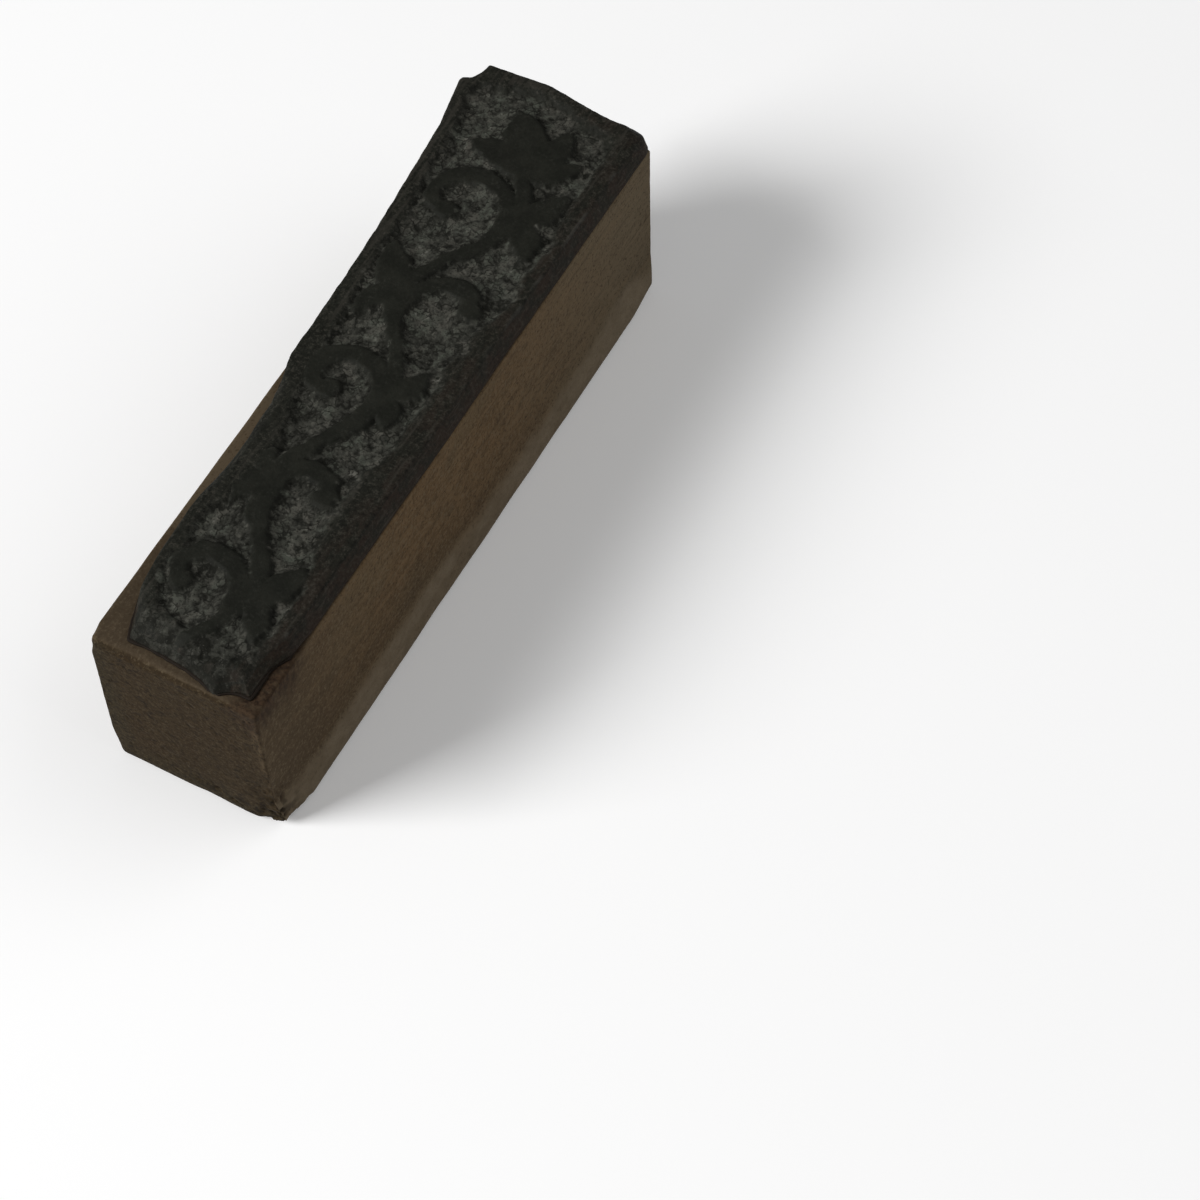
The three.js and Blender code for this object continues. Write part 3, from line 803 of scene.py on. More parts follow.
class Face:
    """The printing face at its points: strokes, border and cut ground, with what roughens and wears them."""

    def __init__(self, points, strokes, ground_outline, edge_gap):
        flat = with_height(points)
        self.flat = flat
        self.x, self.y = points.T
        self.edge_gap = edge_gap
        self.stroke = gap_to_strokes(shaken(points), strokes)
        self.border = border_gap(points, ground_outline)
        self.off_stroke = smoothstep(0, STROKE_WALL, self.stroke)
        self.off_border = smoothstep(0, BORDER_WALL, self.border)
        self.ground = self.off_stroke * self.off_border
        self.on_border = (1 - self.off_border) * self.off_stroke
        self.near_end = smoothstep(*NEAR_WEAR, self.y)
        self.patch = rough_noise(flat, 3.4, 87, 2)
        self.rough = rough_noise(flat, 1.1, 111, 3)
        self.fray = rough_noise(flat, 0.45, 115, 2)
        self.pit = smoothstep(0.15, 0.55, rough_noise(flat, 0.8, 125, 2))
        self.scratch = rough_noise(flat, (0.3, 5, 1), 117, 2)
        self.worn = 0.5 + 0.5 * rough_noise(flat, (2.5, 8, 1), 119, 2)
        warp = FLAKE_WARP * np.column_stack([rough_noise(flat, 0.8, seed, 2) for seed in (131, 135)])
        warped = with_height(points + warp)
        big, after_big, self.big_own = crumbs(warped, (BIG_FLAKE, BIG_FLAKE, 1), 91, flat=True)
        small, after_small, self.small_own = crumbs(warped, (SMALL_FLAKE, SMALL_FLAKE, 1), 101, flat=True)
        self.crack = smoothstep(0.13, 0.02, after_big - big)
        self.crack += 0.5 * smoothstep(0.2, 0.03, after_small - small)

    def relief(self):
        """Height of the cut ground's flakes over its floor."""
        relief = BIG_FLAKE_RELIEF * (self.big_own - 0.5) + SMALL_FLAKE_RELIEF * (self.small_own - 0.5)
        relief += ROUGH_RELIEF * self.rough + FRAY_RELIEF * self.fray
        return relief - CRACK_DEPTH * self.crack - PIT_DEPTH * self.pit

    def bevel(self):
        """How far the face drops towards the sheet's edge."""
        cut = smoothstep(*LEFT_CUT_NEAR, self.y) * smoothstep(*LEFT_CUT_FAR, self.y) * (self.x < 0)
        corner = smoothstep(*FAR_CORNER_REACH, np.hypot(self.x - FAR_CORNER[0], self.y - FAR_CORNER[1]))
        share = np.maximum(np.maximum(self.near_end, cut), corner)
        reach = lerp(EDGE_REACHES[0], lerp(*EDGE_REACHES[1:], self.near_end), share)
        drop = lerp(EDGE_DROPS[0], lerp(*EDGE_DROPS[1:], self.near_end) + FAR_CORNER_DROP * corner, share)
        return drop * np.clip(1 - self.edge_gap / reach, 0, 1) ** 1.5

    def height(self):
        """Height over the printing plane."""
        middle = smoothstep(0.1, 1.8, np.minimum(self.stroke, self.border))
        height = self.ground * (self.relief() - lerp(*FLOOR_DEPTH_SHARES, middle) * CARVING_DEPTH)
        border_wear = 0.02 + 0.07 * self.worn + 0.03 * self.scratch + 0.04 * np.maximum(self.rough, 0)
        height -= self.on_border * border_wear
        height -= (1 - self.ground) * 0.014 * (1 + rough_noise(self.flat, 1.2, 121))
        height -= 0.06 * smoothstep(-0.2, 0, self.stroke) * (1 - self.off_stroke) * self.off_border
        height -= self.near_end * (1 - self.ground) * 0.1 * (1 + self.rough)
        return height - self.bevel()

    def worn_through(self):
        """Where the near end's skin is worn off."""
        beside_edge = smoothstep(3.2, 1.8, self.edge_gap + self.rough)
        return self.near_end * smoothstep(0, 0.4, self.stroke) * beside_edge

    def bare(self):
        """Where the inside of the rubber shows."""
        bare = smoothstep(0, 0.45, self.stroke + 0.32 * self.fray + 0.2 * self.rough)
        bare *= smoothstep(-0.1, 0.9, self.border + 0.4 * self.rough)
        bare = np.maximum(bare, self.worn_through() * smoothstep(-0.2, 0.6, self.patch + 0.8 * self.rough))
        beside_border = smoothstep(1.8, 0.7, self.border + 0.5 * self.patch)
        return bare * (1 - 0.9 * beside_border * smoothstep(*DARK_FAR_BORDER, self.y))

    def paleness(self):
        """How pale the inside of the rubber is."""
        pale = 0.56 + 0.22 * self.patch + 0.15 * self.rough + 0.26 * self.fray
        # Raised flakes are paler: partly paler crumbs, partly a painted highlight on their tops
        pale += 0.08 * (self.big_own - 0.5) + 0.22 * (self.small_own - 0.5)
        pale -= 0.22 * self.pit + 0.2 * self.crack + 0.28 * self.worn_through()
        # Darker next to strokes and the border: painted shade at the foot of their walls
        pale -= 0.12 * smoothstep(1.2, 0.2, np.minimum(self.stroke, self.border) + 0.5 * self.patch)
        return np.clip(pale, 0, 1)

    def dust(self):
        """Scratches and dust on the border."""
        dusty = smoothstep(*DUSTY_SIDE, self.x) * smoothstep(*DUSTY_FAR, self.y)
        return self.on_border * np.clip(0.5 + 0.5 * self.scratch + 0.22 * dusty, 0, 1)

    def redness(self):
        """Reddish brown of the right border."""
        beside_edge = smoothstep(*RED_REACH, self.edge_gap + 0.6 * self.rough)
        return self.on_border * beside_edge * (self.x > 0) * (0.5 + 0.5 * self.worn)

    def pale_arris(self):
        """Pale stretches of the right side's top edge, partly worn and partly a painted highlight."""
        place = smoothstep(*PALE_ARRIS_NEAR, self.y) + smoothstep(*PALE_ARRIS_FAR, self.y)
        broken = smoothstep(0, 0.5, rough_noise(self.flat, (1.5, 1.5, 1), 123, 2))
        edge = smoothstep(0.22, 0.1, np.abs(self.edge_gap - 0.12))
        return edge * place * broken * (self.x > 0) * (1 - self.near_end)


def lattice_points(outline):
    """Evenly spread points, row by row, that lie inside an outline, and how far in each lies."""
    low = outline.min(axis=0)
    high = outline.max(axis=0)
    rows = np.arange(low[1], high[1], LATTICE_STEP * math.sqrt(3) / 2)
    columns = np.arange(low[0], high[0], LATTICE_STEP)
    x, y = np.meshgrid(columns, rows)
    x[1::2] += LATTICE_STEP / 2
    points = np.column_stack([x.ravel(), y.ravel()])
    gap = gap_to_outline(points, outline)
    kept = gap > 0.7 * LATTICE_STEP
    return points[kept], gap[kept]


def snap_to_walls(points, strokes):
    """Moves the points nearest to the top and the foot of each stroke's wall onto them."""
    tiny = 0.01
    gap = gap_to_strokes(shaken(points), strokes)
    east = gap_to_strokes(shaken(points + (tiny, 0)), strokes)
    north = gap_to_strokes(shaken(points + (0, tiny)), strokes)
    slope = np.column_stack([east - gap, north - gap]) / tiny
    steep = np.maximum((slope**2).sum(axis=1), 0.25)
    for level in (0, STROKE_WALL):
        off = gap - level
        near = np.abs(off) < 0.45 * LATTICE_STEP
        points[near] -= slope[near] * (off[near] / steep[near])[:, None]
    return points


def rubber_outlines():
    """The sheet's foot and its top edge, point for point."""
    corners, sides = outline_around(RUBBER_EDGE)
    top_corners = inset_outline(corners, [EDGE_LEAN[side] for side in sides])
    counts = edge_counts(corners, OUTLINE_STEP)
    foot = dense_outline(corners, counts, RUBBER_SOFTENING)
    top = dense_outline(top_corners, counts, RUBBER_SOFTENING)
    wander = EDGE_WANDER * (rough_noise(with_height(foot), 3, 131) - 1)
    foot += outward(foot) * wander[:, None]
    ragged = lerp(*EDGE_RAGGEDNESS, smoothstep(-30, -35, top[:, 1]))
    ragged *= rough_noise(with_height(top), 1.4, 141) - 0.3
    rounded = smoothstep(3, 1, np.hypot(*(foot - FAR_CORNER).T))[:, None]
    foot = lerp(foot, dense_outline(corners, counts, FAR_CORNER_SOFTENING), rounded)
    top = lerp(top, dense_outline(top_corners, counts, FAR_CORNER_SOFTENING), rounded)
    flare = FAR_CORNER_FLARE * smoothstep(3.6, 0.4, np.hypot(*(top - FAR_CORNER).T))
    top += outward(top, RAGGED_REACH) * (wander + ragged + flare)[:, None]
    return foot, top


def inside_triangles(triangles, points, outline):
    """Leaves out the triangles that bridge the hollows of the outline."""
    bridge = triangles.max(axis=1) < len(outline)
    middles = points[triangles[bridge]].mean(axis=1)
    kept = np.ones(len(triangles), bool)
    kept[bridge] = gap_to_outline(middles, outline) > 0
    return triangles[kept].tolist()


def face_mesh(top, strokes):
    """The face's points, the edge's first, how far in each is, and the triangles between them."""
    # Every third point of the edge is enough to tell how far in a place is
    inner, inner_gap = lattice_points(top[::3])
    inner = snap_to_walls(inner, strokes)
    start = [Vector(point) for point in np.concatenate([top, inner]).tolist()]
    made = delaunay_2d_cdt(start, [], [list(range(len(top)))], 1, 1e-6, True)
    points = np.array([place[:] for place in made[0]])
    edge_gap = np.concatenate([np.zeros(len(top)), inner_gap])
    return points, edge_gap, inside_triangles(np.array(made[2]), points, top)


def wall_points(top, foot, edge_height):
    """Rings of points down the sheet's cut edge, from just below its top to its foot."""
    out = outward(foot)
    rings = []
    for row in range(1, SIDE_ROWS + 1):
        share = row / SIDE_ROWS
        ring = lerp(top, foot, share)
        z = lerp(PRINT_PLANE + edge_height, RUBBER_BASE, share)
        if row < SIDE_ROWS:
            cut = WALL_ROUGHNESS * rough_noise(with_height(ring, z), (0.9, 0.9, 3), 151)
            ring = ring + out * cut[:, None]
        rings.append(with_height(ring, z))
    return np.concatenate(rings)


def wall_paint(foot, walls):
    """The walls' painted shares. They are brown, but grey like the cut ground near the sheet's near left."""
    place = smoothstep(*GREY_WALL_NEAR, foot[:, 1]) * smoothstep(*GREY_WALL_LEFT, foot[:, 0])
    grey = np.tile(place, SIDE_ROWS)
    down = np.repeat(np.arange(1, SIDE_ROWS + 1) / SIDE_ROWS, len(foot)) * lerp(1, 0.03, grey)
    none = np.zeros(len(walls))
    return [0.75 * grey, 0.2 + 0.35 * rough_noise(walls, 0.9, 171), down, 0.4 * grey, none, none]


def rubber_die():
    foot, top = rubber_outlines()
    ground_corners, _ = outline_around(GROUND_EDGE)
    ground_counts = edge_counts(ground_corners, 4 * OUTLINE_STEP)
    ground_outline = dense_outline(ground_corners, ground_counts, GROUND_SOFTENING)
    strokes = ornament_strokes()
    points, edge_gap, faces = face_mesh(top, strokes)
    face = Face(points, strokes, ground_outline, edge_gap)
    height = face.height()
    count = len(top)
    walls = wall_points(top, foot, height[:count])
    rings = [0] + [len(points) + row * count for row in range(SIDE_ROWS)]
    for upper, lower in zip(rings, rings[1:]):
        faces += ring_quads(upper, lower, count)
    faces.append([rings[-1] + i for i in reversed(range(count))])
    vertices = np.concatenate([with_height(points, PRINT_PLANE + height), walls])
    piece = new_piece("carved_rubber", vertices, faces, rubber_material(), "rubber_die")
    none = np.zeros(len(points))
    face_paint = [face.bare(), face.paleness(), none, face.dust(), face.redness(), face.pale_arris()]
    columns = [np.append(*pair) for pair in zip(face_paint, wall_paint(foot, walls))]
    # The border attribute holds scratches and dust, reddish brown, and the pale arris, which is partly a
    # painted highlight
    paint(piece, "carving", columns[:3])
    paint(piece, "border", columns[3:])


# Film of glue


def glue_film():
    corners, _ = outline_around(RUBBER_EDGE)
    squeezed = inset_outline(corners, [-GLUE_SQUEEZE] * len(corners))
    outline = dense_outline(squeezed, edge_counts(corners, OUTLINE_STEP), RUBBER_SOFTENING)
    outline += outward(outline) * (GLUE_UNEVENNESS * rough_noise(with_height(outline), 1.5, 161))[:, None]
    x, y = outline.T
    back = END_EDGE_SETBACK
    side = TOP_EDGE_RADIUS + GLUE_SETBACK
    x = np.clip(x, side - left_reach(np.clip(y, NEAR_END, FAR_END)), right_top_reach(y) - side)
    y = np.clip(y, near_face(x) + back, far_face(x) - back)
    outline = np.column_stack([x, y])
    step = np.linalg.norm(np.roll(outline, -1, axis=0) - outline, axis=1)
    outline = outline[step > SHORTEST_GLUE_STEP]
    out = outward(outline)
    count = len(outline)
    rings = []
    for grow, share in GLUE_PROFILE:
        rings.append(with_height(outline + out * grow, lerp(BLOCK_TOP, RUBBER_BASE, share)))
    faces = [list(reversed(range(count)))]
    for row in range(1, len(rings)):
        faces += ring_quads(row * count, (row - 1) * count, count)
    faces.append([(len(rings) - 1) * count + i for i in range(count)])
    new_piece("glue_film", np.concatenate(rings), faces, glue_material(), "glue_layer")


# Materials


class Shader:
    """A node material that keeps values by name. It works in millimetres of the part's own frame."""

    def __init__(self, name, noises=None):
        self.values = {}
        self.material = bpy.data.materials.new(name)
        self.material.use_nodes = True
        self.tree = self.material.node_tree
        place = self.add("ShaderNodeTexCoord").outputs["Object"]
        scaled = self.add("ShaderNodeVectorMath", {0: place, "Scale": 1 / MM}, operation="SCALE")
        self.place = scaled.outputs["Vector"]
        for noise_name, settings in (noises or {}).items():
            self.values[noise_name] = self.noise(*settings)

    def put(self, value, socket):
        """Gives a socket another node's output, itself or by name, or a number or colour."""
        if isinstance(value, str):
            value = self.values[value]
        if isinstance(value, bpy.types.NodeSocket):
            self.tree.links.new(value, socket)
        elif socket.type == "RGBA":
            socket.default_value = (*value, 1)
        else:
            socket.default_value = value

    def fill(self, node, inputs):
        for key, value in inputs.items():
            self.put(value, node.inputs[key])
        return node

    def add(self, kind, inputs=None, **settings):
        node = self.tree.nodes.new(kind)
        for name, value in settings.items():
            setattr(node, name, value)
        return self.fill(node, inputs or {})

    def noise(self, size, detail=2.0, stretch=(1, 1, 1), roughness=0.5):
        """Noise from 0 to 1 whose bumps are about size across, times the stretch along each axis."""
        scale = [1 / (size * share) for share in stretch]
        mapped = self.add("ShaderNodeMapping", {"Vector": self.place, "Scale": scale}).outputs["Vector"]
        inputs = {"Vector": mapped, "Scale": 1, "Detail": detail, "Roughness": roughness}
        return self.add("ShaderNodeTexNoise", inputs).outputs["Fac"]

    def flakes(self, size, sway):
        """Wavy flakes: how far in from its flake's edge each place is, and the flake's own value."""
        wave = self.add("ShaderNodeTexNoise", {"Vector": self.place, "Scale": 1 / size}).outputs["Color"]
        inputs = {0: wave, 1: (sway, sway, sway), 2: self.place}
        pushed = self.add("ShaderNodeVectorMath", inputs, operation="MULTIPLY_ADD").outputs["Vector"]
        inputs = {"Vector": pushed, "Scale": 1 / size}
        edge = self.add("ShaderNodeTexVoronoi", inputs, feature="DISTANCE_TO_EDGE")
        return edge.outputs["Distance"], self.add("ShaderNodeTexVoronoi", inputs).outputs["Color"]

    def read(self, attribute, names):
        """Names the three values of a painted attribute."""
        colour = self.add("ShaderNodeAttribute", attribute_name=attribute).outputs["Color"]
        self.values.update(zip(names, self.add("ShaderNodeSeparateColor", {"Color": colour}).outputs))

    def ramp(self, value, low, high, to_low=0.0, to_high=1.0):
        """Maps a value smoothly from low..high to another range."""
        inputs = {"Value": value, "From Min": low, "From Max": high, "To Min": to_low, "To Max": to_high}
        return self.add("ShaderNodeMapRange", inputs, interpolation_type="SMOOTHSTEP").outputs["Result"]

    def math(self, operation, a, b):
        return self.add("ShaderNodeMath", {0: a, 1: b}, operation=operation).outputs[0]

    def times(self, a, b):
        return self.math("MULTIPLY", a, b)

    def mix(self, share, a, b):
        node = self.add("ShaderNodeMix", data_type="RGBA")
        for identifier, value in (("Factor_Float", share), ("A_Color", a), ("B_Color", b)):
            self.put(value, next(socket for socket in node.inputs if socket.identifier == identifier))
        return next(socket for socket in node.outputs if socket.identifier == "Result_Color")

    def colours(self, table):
        """Names each colour of a table, which is a first colour with layers over it."""
        for name, (colour, *layers) in table.items():
            for source, *span, share, above in layers:
                amount = self.ramp(source, *span, 0, share) if span else self.times(source, share)
                colour = self.mix(amount, colour, above)
            self.values[name] = colour

    def bump(self, height, distance, before=None):
        """A bump whose full height is distance, in millimetres."""
        normal = {} if before is None else {"Normal": before}
        inputs = {"Height": height, "Distance": distance * MM, **normal}
        return self.add("ShaderNodeBump", inputs).outputs["Normal"]

    def finish(self, inputs):
        self.fill(self.tree.nodes["Principled BSDF"], inputs)
        return self.material


# A material's noises have their size in millimetres, detail, stretch along each axis, and roughness. Each of
# its colours is a first colour with layers over it. A layer has what it follows, the values of that between
# which it comes in, its greatest share, and its colour. One without such values follows it in proportion.

WOOD_NOISES = {
    "grain": (0.35, 4, (1, 14, 1), 0.65),
    "mottle": (0.9, 5, (1, 1.5, 1), 0.7),
    "tone": (7, 3, (1, 1.5, 1)),
    "speck": (0.34, 4, (1, 1.1, 1), 0.75),
    "blotch": (3, 4, (1, 1.6, 1), 0.6),
    "vein": (0.8, 4, (1, 24, 1), 0.6),
    "saw": (0.35, 4, (9, 9, 1), 0.7),
    "thread": (0.6, 4, (1, 1, 2)),
    "soak": (0.7, 4, (1, 1, 2)),
    "streak": (0.5, 4, (1, 1, 2.6), 0.7),
    "pit": (0.36, 3, (1.7, 1, 1)),
    "chip": (0.34, 3, (1.4, 1, 1)),
}
WOOD_COLOURS = {
    # The lip's colour is paler than the side's: partly paler wood, partly a painted highlight where the lip
    # faces up
    "lip": (
        (0.142, 0.112, 0.0755),
        ("mottle", 0.3, 0.7, 1, (0.176, 0.14, 0.096)),
        ("blotch", 0.5, 0.66, 0.45, (0.11, 0.084, 0.054)),
    ),
    "side grain": (
        (0.09, 0.056, 0.0265),
        ("mottle", 0.3, 0.7, 1, (0.138, 0.088, 0.044)),
        ("blotch", 0.53, 0.66, 0.4, (0.07, 0.048, 0.026)),
        ("tone", 0.4, 0.65, 0.5, (0.098, 0.072, 0.039)),
        ("along", -16, -36, 0.75, (0.054, 0.0395, 0.023)),
        ("along", 0, 36, 0.75, (0.122, 0.098, 0.063)),
        ("grain", 0.45, 0.7, 0.35, (0.044, 0.028, 0.0155)),
        ("vein", 0.54, 0.68, 0.22, (0.052, 0.034, 0.019)),
        ("vein", 0.46, 0.32, 0.25, (0.16, 0.11, 0.06)),
        # Painted shade just above the lip, where the groove faces down; then the lip's paler colour, partly a
        # painted highlight
        ("shade", 0.5, (0.046, 0.032, 0.019)),
        ("band", 0.85, "lip"),
        ("top", 0.7, (0.052, 0.038, 0.024)),
        # Paler places, among them the near end's top edge, which carries a painted highlight
        ("pale", 0.5, (0.105, 0.08, 0.051)),
    ),
    "end grain": (
        (0.025, 0.015, 0.0066),
        ("mottle", 0.3, 0.7, 1, (0.0365, 0.0238, 0.011)),
        ("saw", 0.4, 0.65, 0.35, (0.036, 0.025, 0.012)),
        ("tone", 0.4, 0.65, 0.25, (0.026, 0.019, 0.0092)),
        ("saw", 0.46, 0.34, 0.5, (0.019, 0.0125, 0.006)),
        # The far end's grain is lighter than the near end's: painted light that lifts the far end, which the
        # key lamp leaves in shade
        ("along", 30, 36, 0.6, (0.08, 0.056, 0.03)),
    ),
    "light speck": (
        (0.125, 0.096, 0.06),
        ("top", 1, (0.088, 0.066, 0.041)),
        ("end", 1, (0.056, 0.04, 0.022)),
    ),
    "dark speck": (
        (0.046, 0.031, 0.0175),
        ("end", 1, (0.0125, 0.0085, 0.005)),
        # Dark specks are not darkened at the far end: part of the painted light there
        ("far", 1, (0.046, 0.031, 0.0175)),
    ),
    "stain colour": (
        (0.016, 0.0092, 0.0054),
        ("streak", 0.36, 0.66, 1, (0.05, 0.03, 0.0168)),
        ("speck", 0.55, 0.68, 0.45, (0.072, 0.045, 0.025)),
    ),
    "wood": (
        "side grain",
        ("end", 0.15, 0.5, 1, "end grain"),
        ("grime", 0.4, (0.027, 0.025, 0.015)),
        ("torn fibre", 0.7, (0.095, 0.067, 0.038)),
        ("speck", 0.52, 0.64, 0.75, "light speck"),
        ("dots", 1, "dark speck"),
        ("soaked", 1, "stain colour"),
        ("pits", 0.75, (0.011, 0.0075, 0.0045)),
        ("chips", 0.4, (0.06, 0.046, 0.028)),
        ("pore", 0.8, (0.01, 0.007, 0.0042)),
    ),
}


def wood_material():
    shader = Shader("worn_wood", WOOD_NOISES)
    shader.read("wood_place", ("end", "top", "band"))
    shader.read("wood_wear", ("fibre", "stain", "pore"))
    shader.read("wood_tint", ("shade", "grime", "pale"))
    values = shader.values
    values["along"] = shader.add("ShaderNodeSeparateXYZ", {"Vector": shader.place}).outputs["Y"]
    values["far"] = shader.ramp("along", 30, 36)
    near = shader.times("end", shader.math("SUBTRACT", 1.0, "far"))
    values["torn fibre"] = shader.times("fibre", shader.ramp("thread", 0.35, 0.6))
    values["dots"] = shader.times(shader.ramp("speck", 0.47, 0.34, 0, 0.9), shader.ramp("band", 0, 1, 1, 0.3))
    values["soaked"] = shader.times("stain", shader.ramp("soak", 0.3, 0.55, 0.45, 1))
    values["pits"] = shader.times(near, shader.ramp("pit", 0.43, 0.32))
    values["chips"] = shader.times(near, shader.ramp("chip", 0.57, 0.68))
    shader.colours(WOOD_COLOURS)
    return shader.finish({
        "Base Color": "wood",
        "Roughness": 0.85,
        "Specular IOR Level": 0.1,
        "Normal": shader.bump("grain", 0.04, shader.bump("speck", 0.04)),
    })


def glue_material():
    shader = Shader("dried_glue")
    return shader.finish({
        "Base Color": shader.mix(shader.noise(1.2, 3), (0.008, 0.006, 0.0045), (0.018, 0.0125, 0.0085)),
        "Roughness": 0.75,
        "Specular IOR Level": 0.1,
        "Normal": shader.bump(shader.noise(0.4, 2), 0.04),
    })


RUBBER_NOISES = {
    "tone": (2.2, 4, (1, 1, 1), 0.6),
    "fine": (0.3, 4, (1, 1, 1), 0.7),
    "dust": (0.36, 5, (1, 1, 1), 0.78),
    "cloud": (1.5, 4, (1, 2, 1), 0.65),
    "streak": (0.3, 3, (1, 14, 1), 0.6),
    "drift": (1.7, 3),
    "gap": (1.3, 3),
    "warmth": (1.8, 3),
    "grit_and_glint": (0.2, 2),
}
RUBBER_COLOURS = {
    "brown": (
        (0.0125, 0.0122, 0.009),
        ("tint", 1, (0.0215, 0.0155, 0.0115)),
    ),
    "skin": (
        (0.0106, 0.0111, 0.0084),
        ("tone", 0.35, 0.65, 1, (0.0158, 0.0162, 0.0124)),
        ("settled dust", 1, (0.036, 0.036, 0.03)),
        ("dust", 0.45, 0.34, 0.5, (0.0066, 0.0067, 0.005)),
        ("reddish", 0.85, "brown"),
    ),
    "scratched skin": (
        "skin",
        ("dust", 0.5, 0.64, 0.7, (0.044, 0.0405, 0.0325)),
        ("dust", 0.47, 0.36, 0.8, (0.0055, 0.0052, 0.004)),
        ("scratch", 0.6, 0.85, 0.5, (0.036, 0.033, 0.027)),
    ),
    "warm grey": (
        (0.06, 0.0645, 0.052),
        ("warmth", 0.35, 0.65, 1, (0.07, 0.067, 0.056)),
    ),
    "inside": (
        (0.0105, 0.0105, 0.0082),
        ("pale", 0.02, 0.4, 1, (0.032, 0.032, 0.0265)),
        ("pale", 0.3, 0.8, 1, "warm grey"),
        # The brightest specks of the cut ground, from its palest places and two speck noises, are partly pale
        # crumbs and partly painted glints
        ("pale", 0.85, 1, 0.7, (0.125, 0.122, 0.105)),
        ("dust", 0.56, 0.72, 0.5, (0.105, 0.103, 0.089)),
        ("dust", 0.46, 0.34, 0.8, (0.009, 0.009, 0.007)),
        ("grit_and_glint", 0.62, 0.74, 0.4, (0.11, 0.108, 0.094)),
        ("grit_and_glint", 0.42, 0.32, 0.7, (0.01, 0.01, 0.0078)),
        ("crack", 0.8, (0.009, 0.009, 0.007)),
    ),
    "cut edge": (
        (0.0152, 0.014, 0.0098),
        ("tint", 1, (0.0225, 0.0152, 0.0105)),
        ("dust", 0.51, 0.64, 0.7, (0.046, 0.04, 0.031)),
        ("dust", 0.46, 0.35, 0.75, (0.006, 0.0052, 0.0038)),
        ("streak", 0.58, 0.68, 0.5, (0.048, 0.042, 0.033)),
        ("streak", 0.42, 0.32, 0.6, (0.007, 0.0058, 0.0042)),
    ),
    "rubber": (
        "skin",
        ("scratch", 0.05, 0.3, 1, "scratched skin"),
        ("bare", 1, "inside"),
        # The pale arris: partly worn, partly a painted highlight
        ("arris", 0.3, (0.075, 0.073, 0.065)),
        ("down", 0, 0.12, 1, "cut edge"),
        ("down", 0.85, 1, 0.6, (0.018, 0.0105, 0.007)),
    ),
}


def rubber_material():
    shader = Shader("old_rubber", RUBBER_NOISES)
    shader.read("carving", ("bare", "own pale", "down"))
    # The arris share is partly worn edge, partly a painted highlight
    shader.read("border", ("scratch", "reddish", "arris"))
    edge_gap, own = shader.flakes(0.8, 0.9)
    values = shader.values
    values["pale"] = shader.math("ADD", "own pale", shader.ramp(own, 0.25, 0.75, -0.13, 0.18))
    values["crack"] = shader.times(shader.ramp(edge_gap, 0.13, 0.03), shader.ramp("gap", 0.44, 0.56))
    dusty = shader.ramp("drift", 0.48, 0.62, 0.35, 1)
    values["settled dust"] = shader.times(dusty, shader.ramp("dust", 0.5, 0.68, 0, 0.55))
    values["tint"] = shader.ramp("cloud", 0.4, 0.6)
    shader.colours(RUBBER_COLOURS)
    return shader.finish({
        "Base Color": "rubber",
        "Roughness": shader.ramp("bare", 0, 1, 0.65, 0.85),
        "Specular IOR Level": 0.08,
        "Normal": shader.bump("fine", 0.06),
    })


# Floor, light and camera


def floor_material():
    shader = Shader("pale_floor")
    rays = shader.add("ShaderNodeLightPath").outputs
    seen = shader.math("MAXIMUM", rays["Is Camera Ray"], rays["Is Glossy Ray"])
    seen = shader.math("MAXIMUM", seen, rays["Is Transmission Ray"])
    return shader.finish({
        "Base Color": shader.mix(seen, FLOOR_COLOUR, FLOOR_COLOUR_SEEN),
        "Roughness": 1,
        "Specular IOR Level": 0,
        "Emission Color": (1, 1, 1),
        "Emission Strength": shader.times(seen, FLOOR_GLOW),
    })


def make_floor():
    corners = [(x * FLOOR_HALF, y * FLOOR_HALF, -FLOOR_GAP) for x, y in ((-1, -1), (1, -1), (1, 1), (-1, 1))]
    floor = new_mesh("floor", corners, [(0, 1, 2, 3)], floor_material())


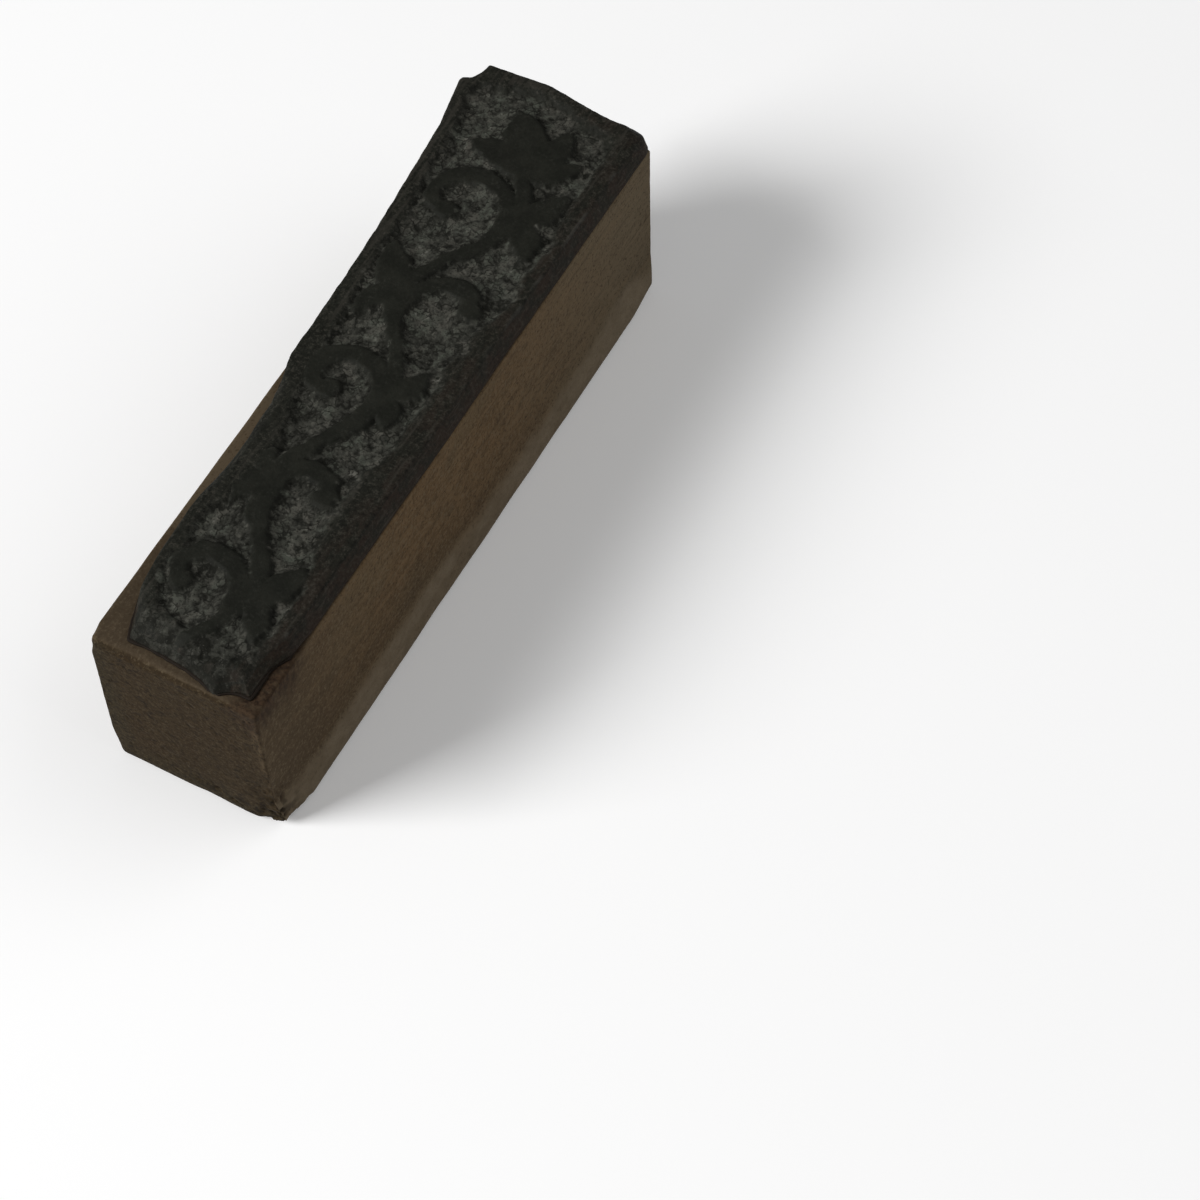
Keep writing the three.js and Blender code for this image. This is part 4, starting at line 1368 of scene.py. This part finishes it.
def make_light(name, direction, distance, size, level):
    """A square soft light that adds about level, a share of full light, to a surface that faces it."""
    light = bpy.data.lights.new(name, "AREA")
    light.shape = "SQUARE"
    light.size = size
    light.energy = level * (math.pi * distance) ** 2
    lamp = new_object(name, light)
    way = Vector(direction).normalized()
    lamp.location = way * distance
    lamp.rotation_mode = "QUATERNION"
    lamp.rotation_quaternion = way.to_track_quat("Z", "Y")


def make_world():
    world = bpy.data.worlds.new("studio")
    world.use_nodes = True
    tree = world.node_tree
    background = tree.nodes["Background"]
    rays = tree.nodes.new("ShaderNodeLightPath")
    strength = tree.nodes.new("ShaderNodeMapRange")
    tree.links.new(rays.outputs["Is Camera Ray"], strength.inputs["Value"])
    strength.inputs["To Min"].default_value = WORLD_LEVEL
    strength.inputs["To Max"].default_value = 1
    tree.links.new(strength.outputs["Result"], background.inputs["Strength"])
    background.inputs["Color"].default_value = (1, 1, 1, 1)
    bpy.context.scene.world = world


def make_camera():
    back = Vector((
        math.sin(CAMERA_AZIMUTH) * math.cos(CAMERA_ELEVATION),
        -math.cos(CAMERA_AZIMUTH) * math.cos(CAMERA_ELEVATION),
        math.sin(CAMERA_ELEVATION),
    ))
    level = Vector((math.cos(CAMERA_AZIMUTH), math.sin(CAMERA_AZIMUTH), 0))
    upright = back.cross(level)
    right = level * math.cos(CAMERA_ROLL) + upright * math.sin(CAMERA_ROLL)
    up = upright * math.cos(CAMERA_ROLL) - level * math.sin(CAMERA_ROLL)
    data = bpy.data.cameras.new("camera")
    data.lens = CAMERA_LENS
    data.sensor_width = SENSOR_WIDTH
    data.clip_start, data.clip_end = CAMERA_RANGE
    camera = new_object("camera", data)
    camera.rotation_mode = "QUATERNION"
    camera.rotation_quaternion = Matrix((right, up, back)).transposed().to_quaternion()
    camera.location = (CAMERA_AIM + back * CAMERA_DISTANCE) * MM
    bpy.context.scene.camera = camera


make_camera()
make_world()
make_floor()
for lamp_name, lamp_settings in LAMPS.items():
    make_light(lamp_name, *lamp_settings)
wooden_block()
glue_film()
rubber_die()
bpy.context.scene.view_settings.view_transform = "Standard"
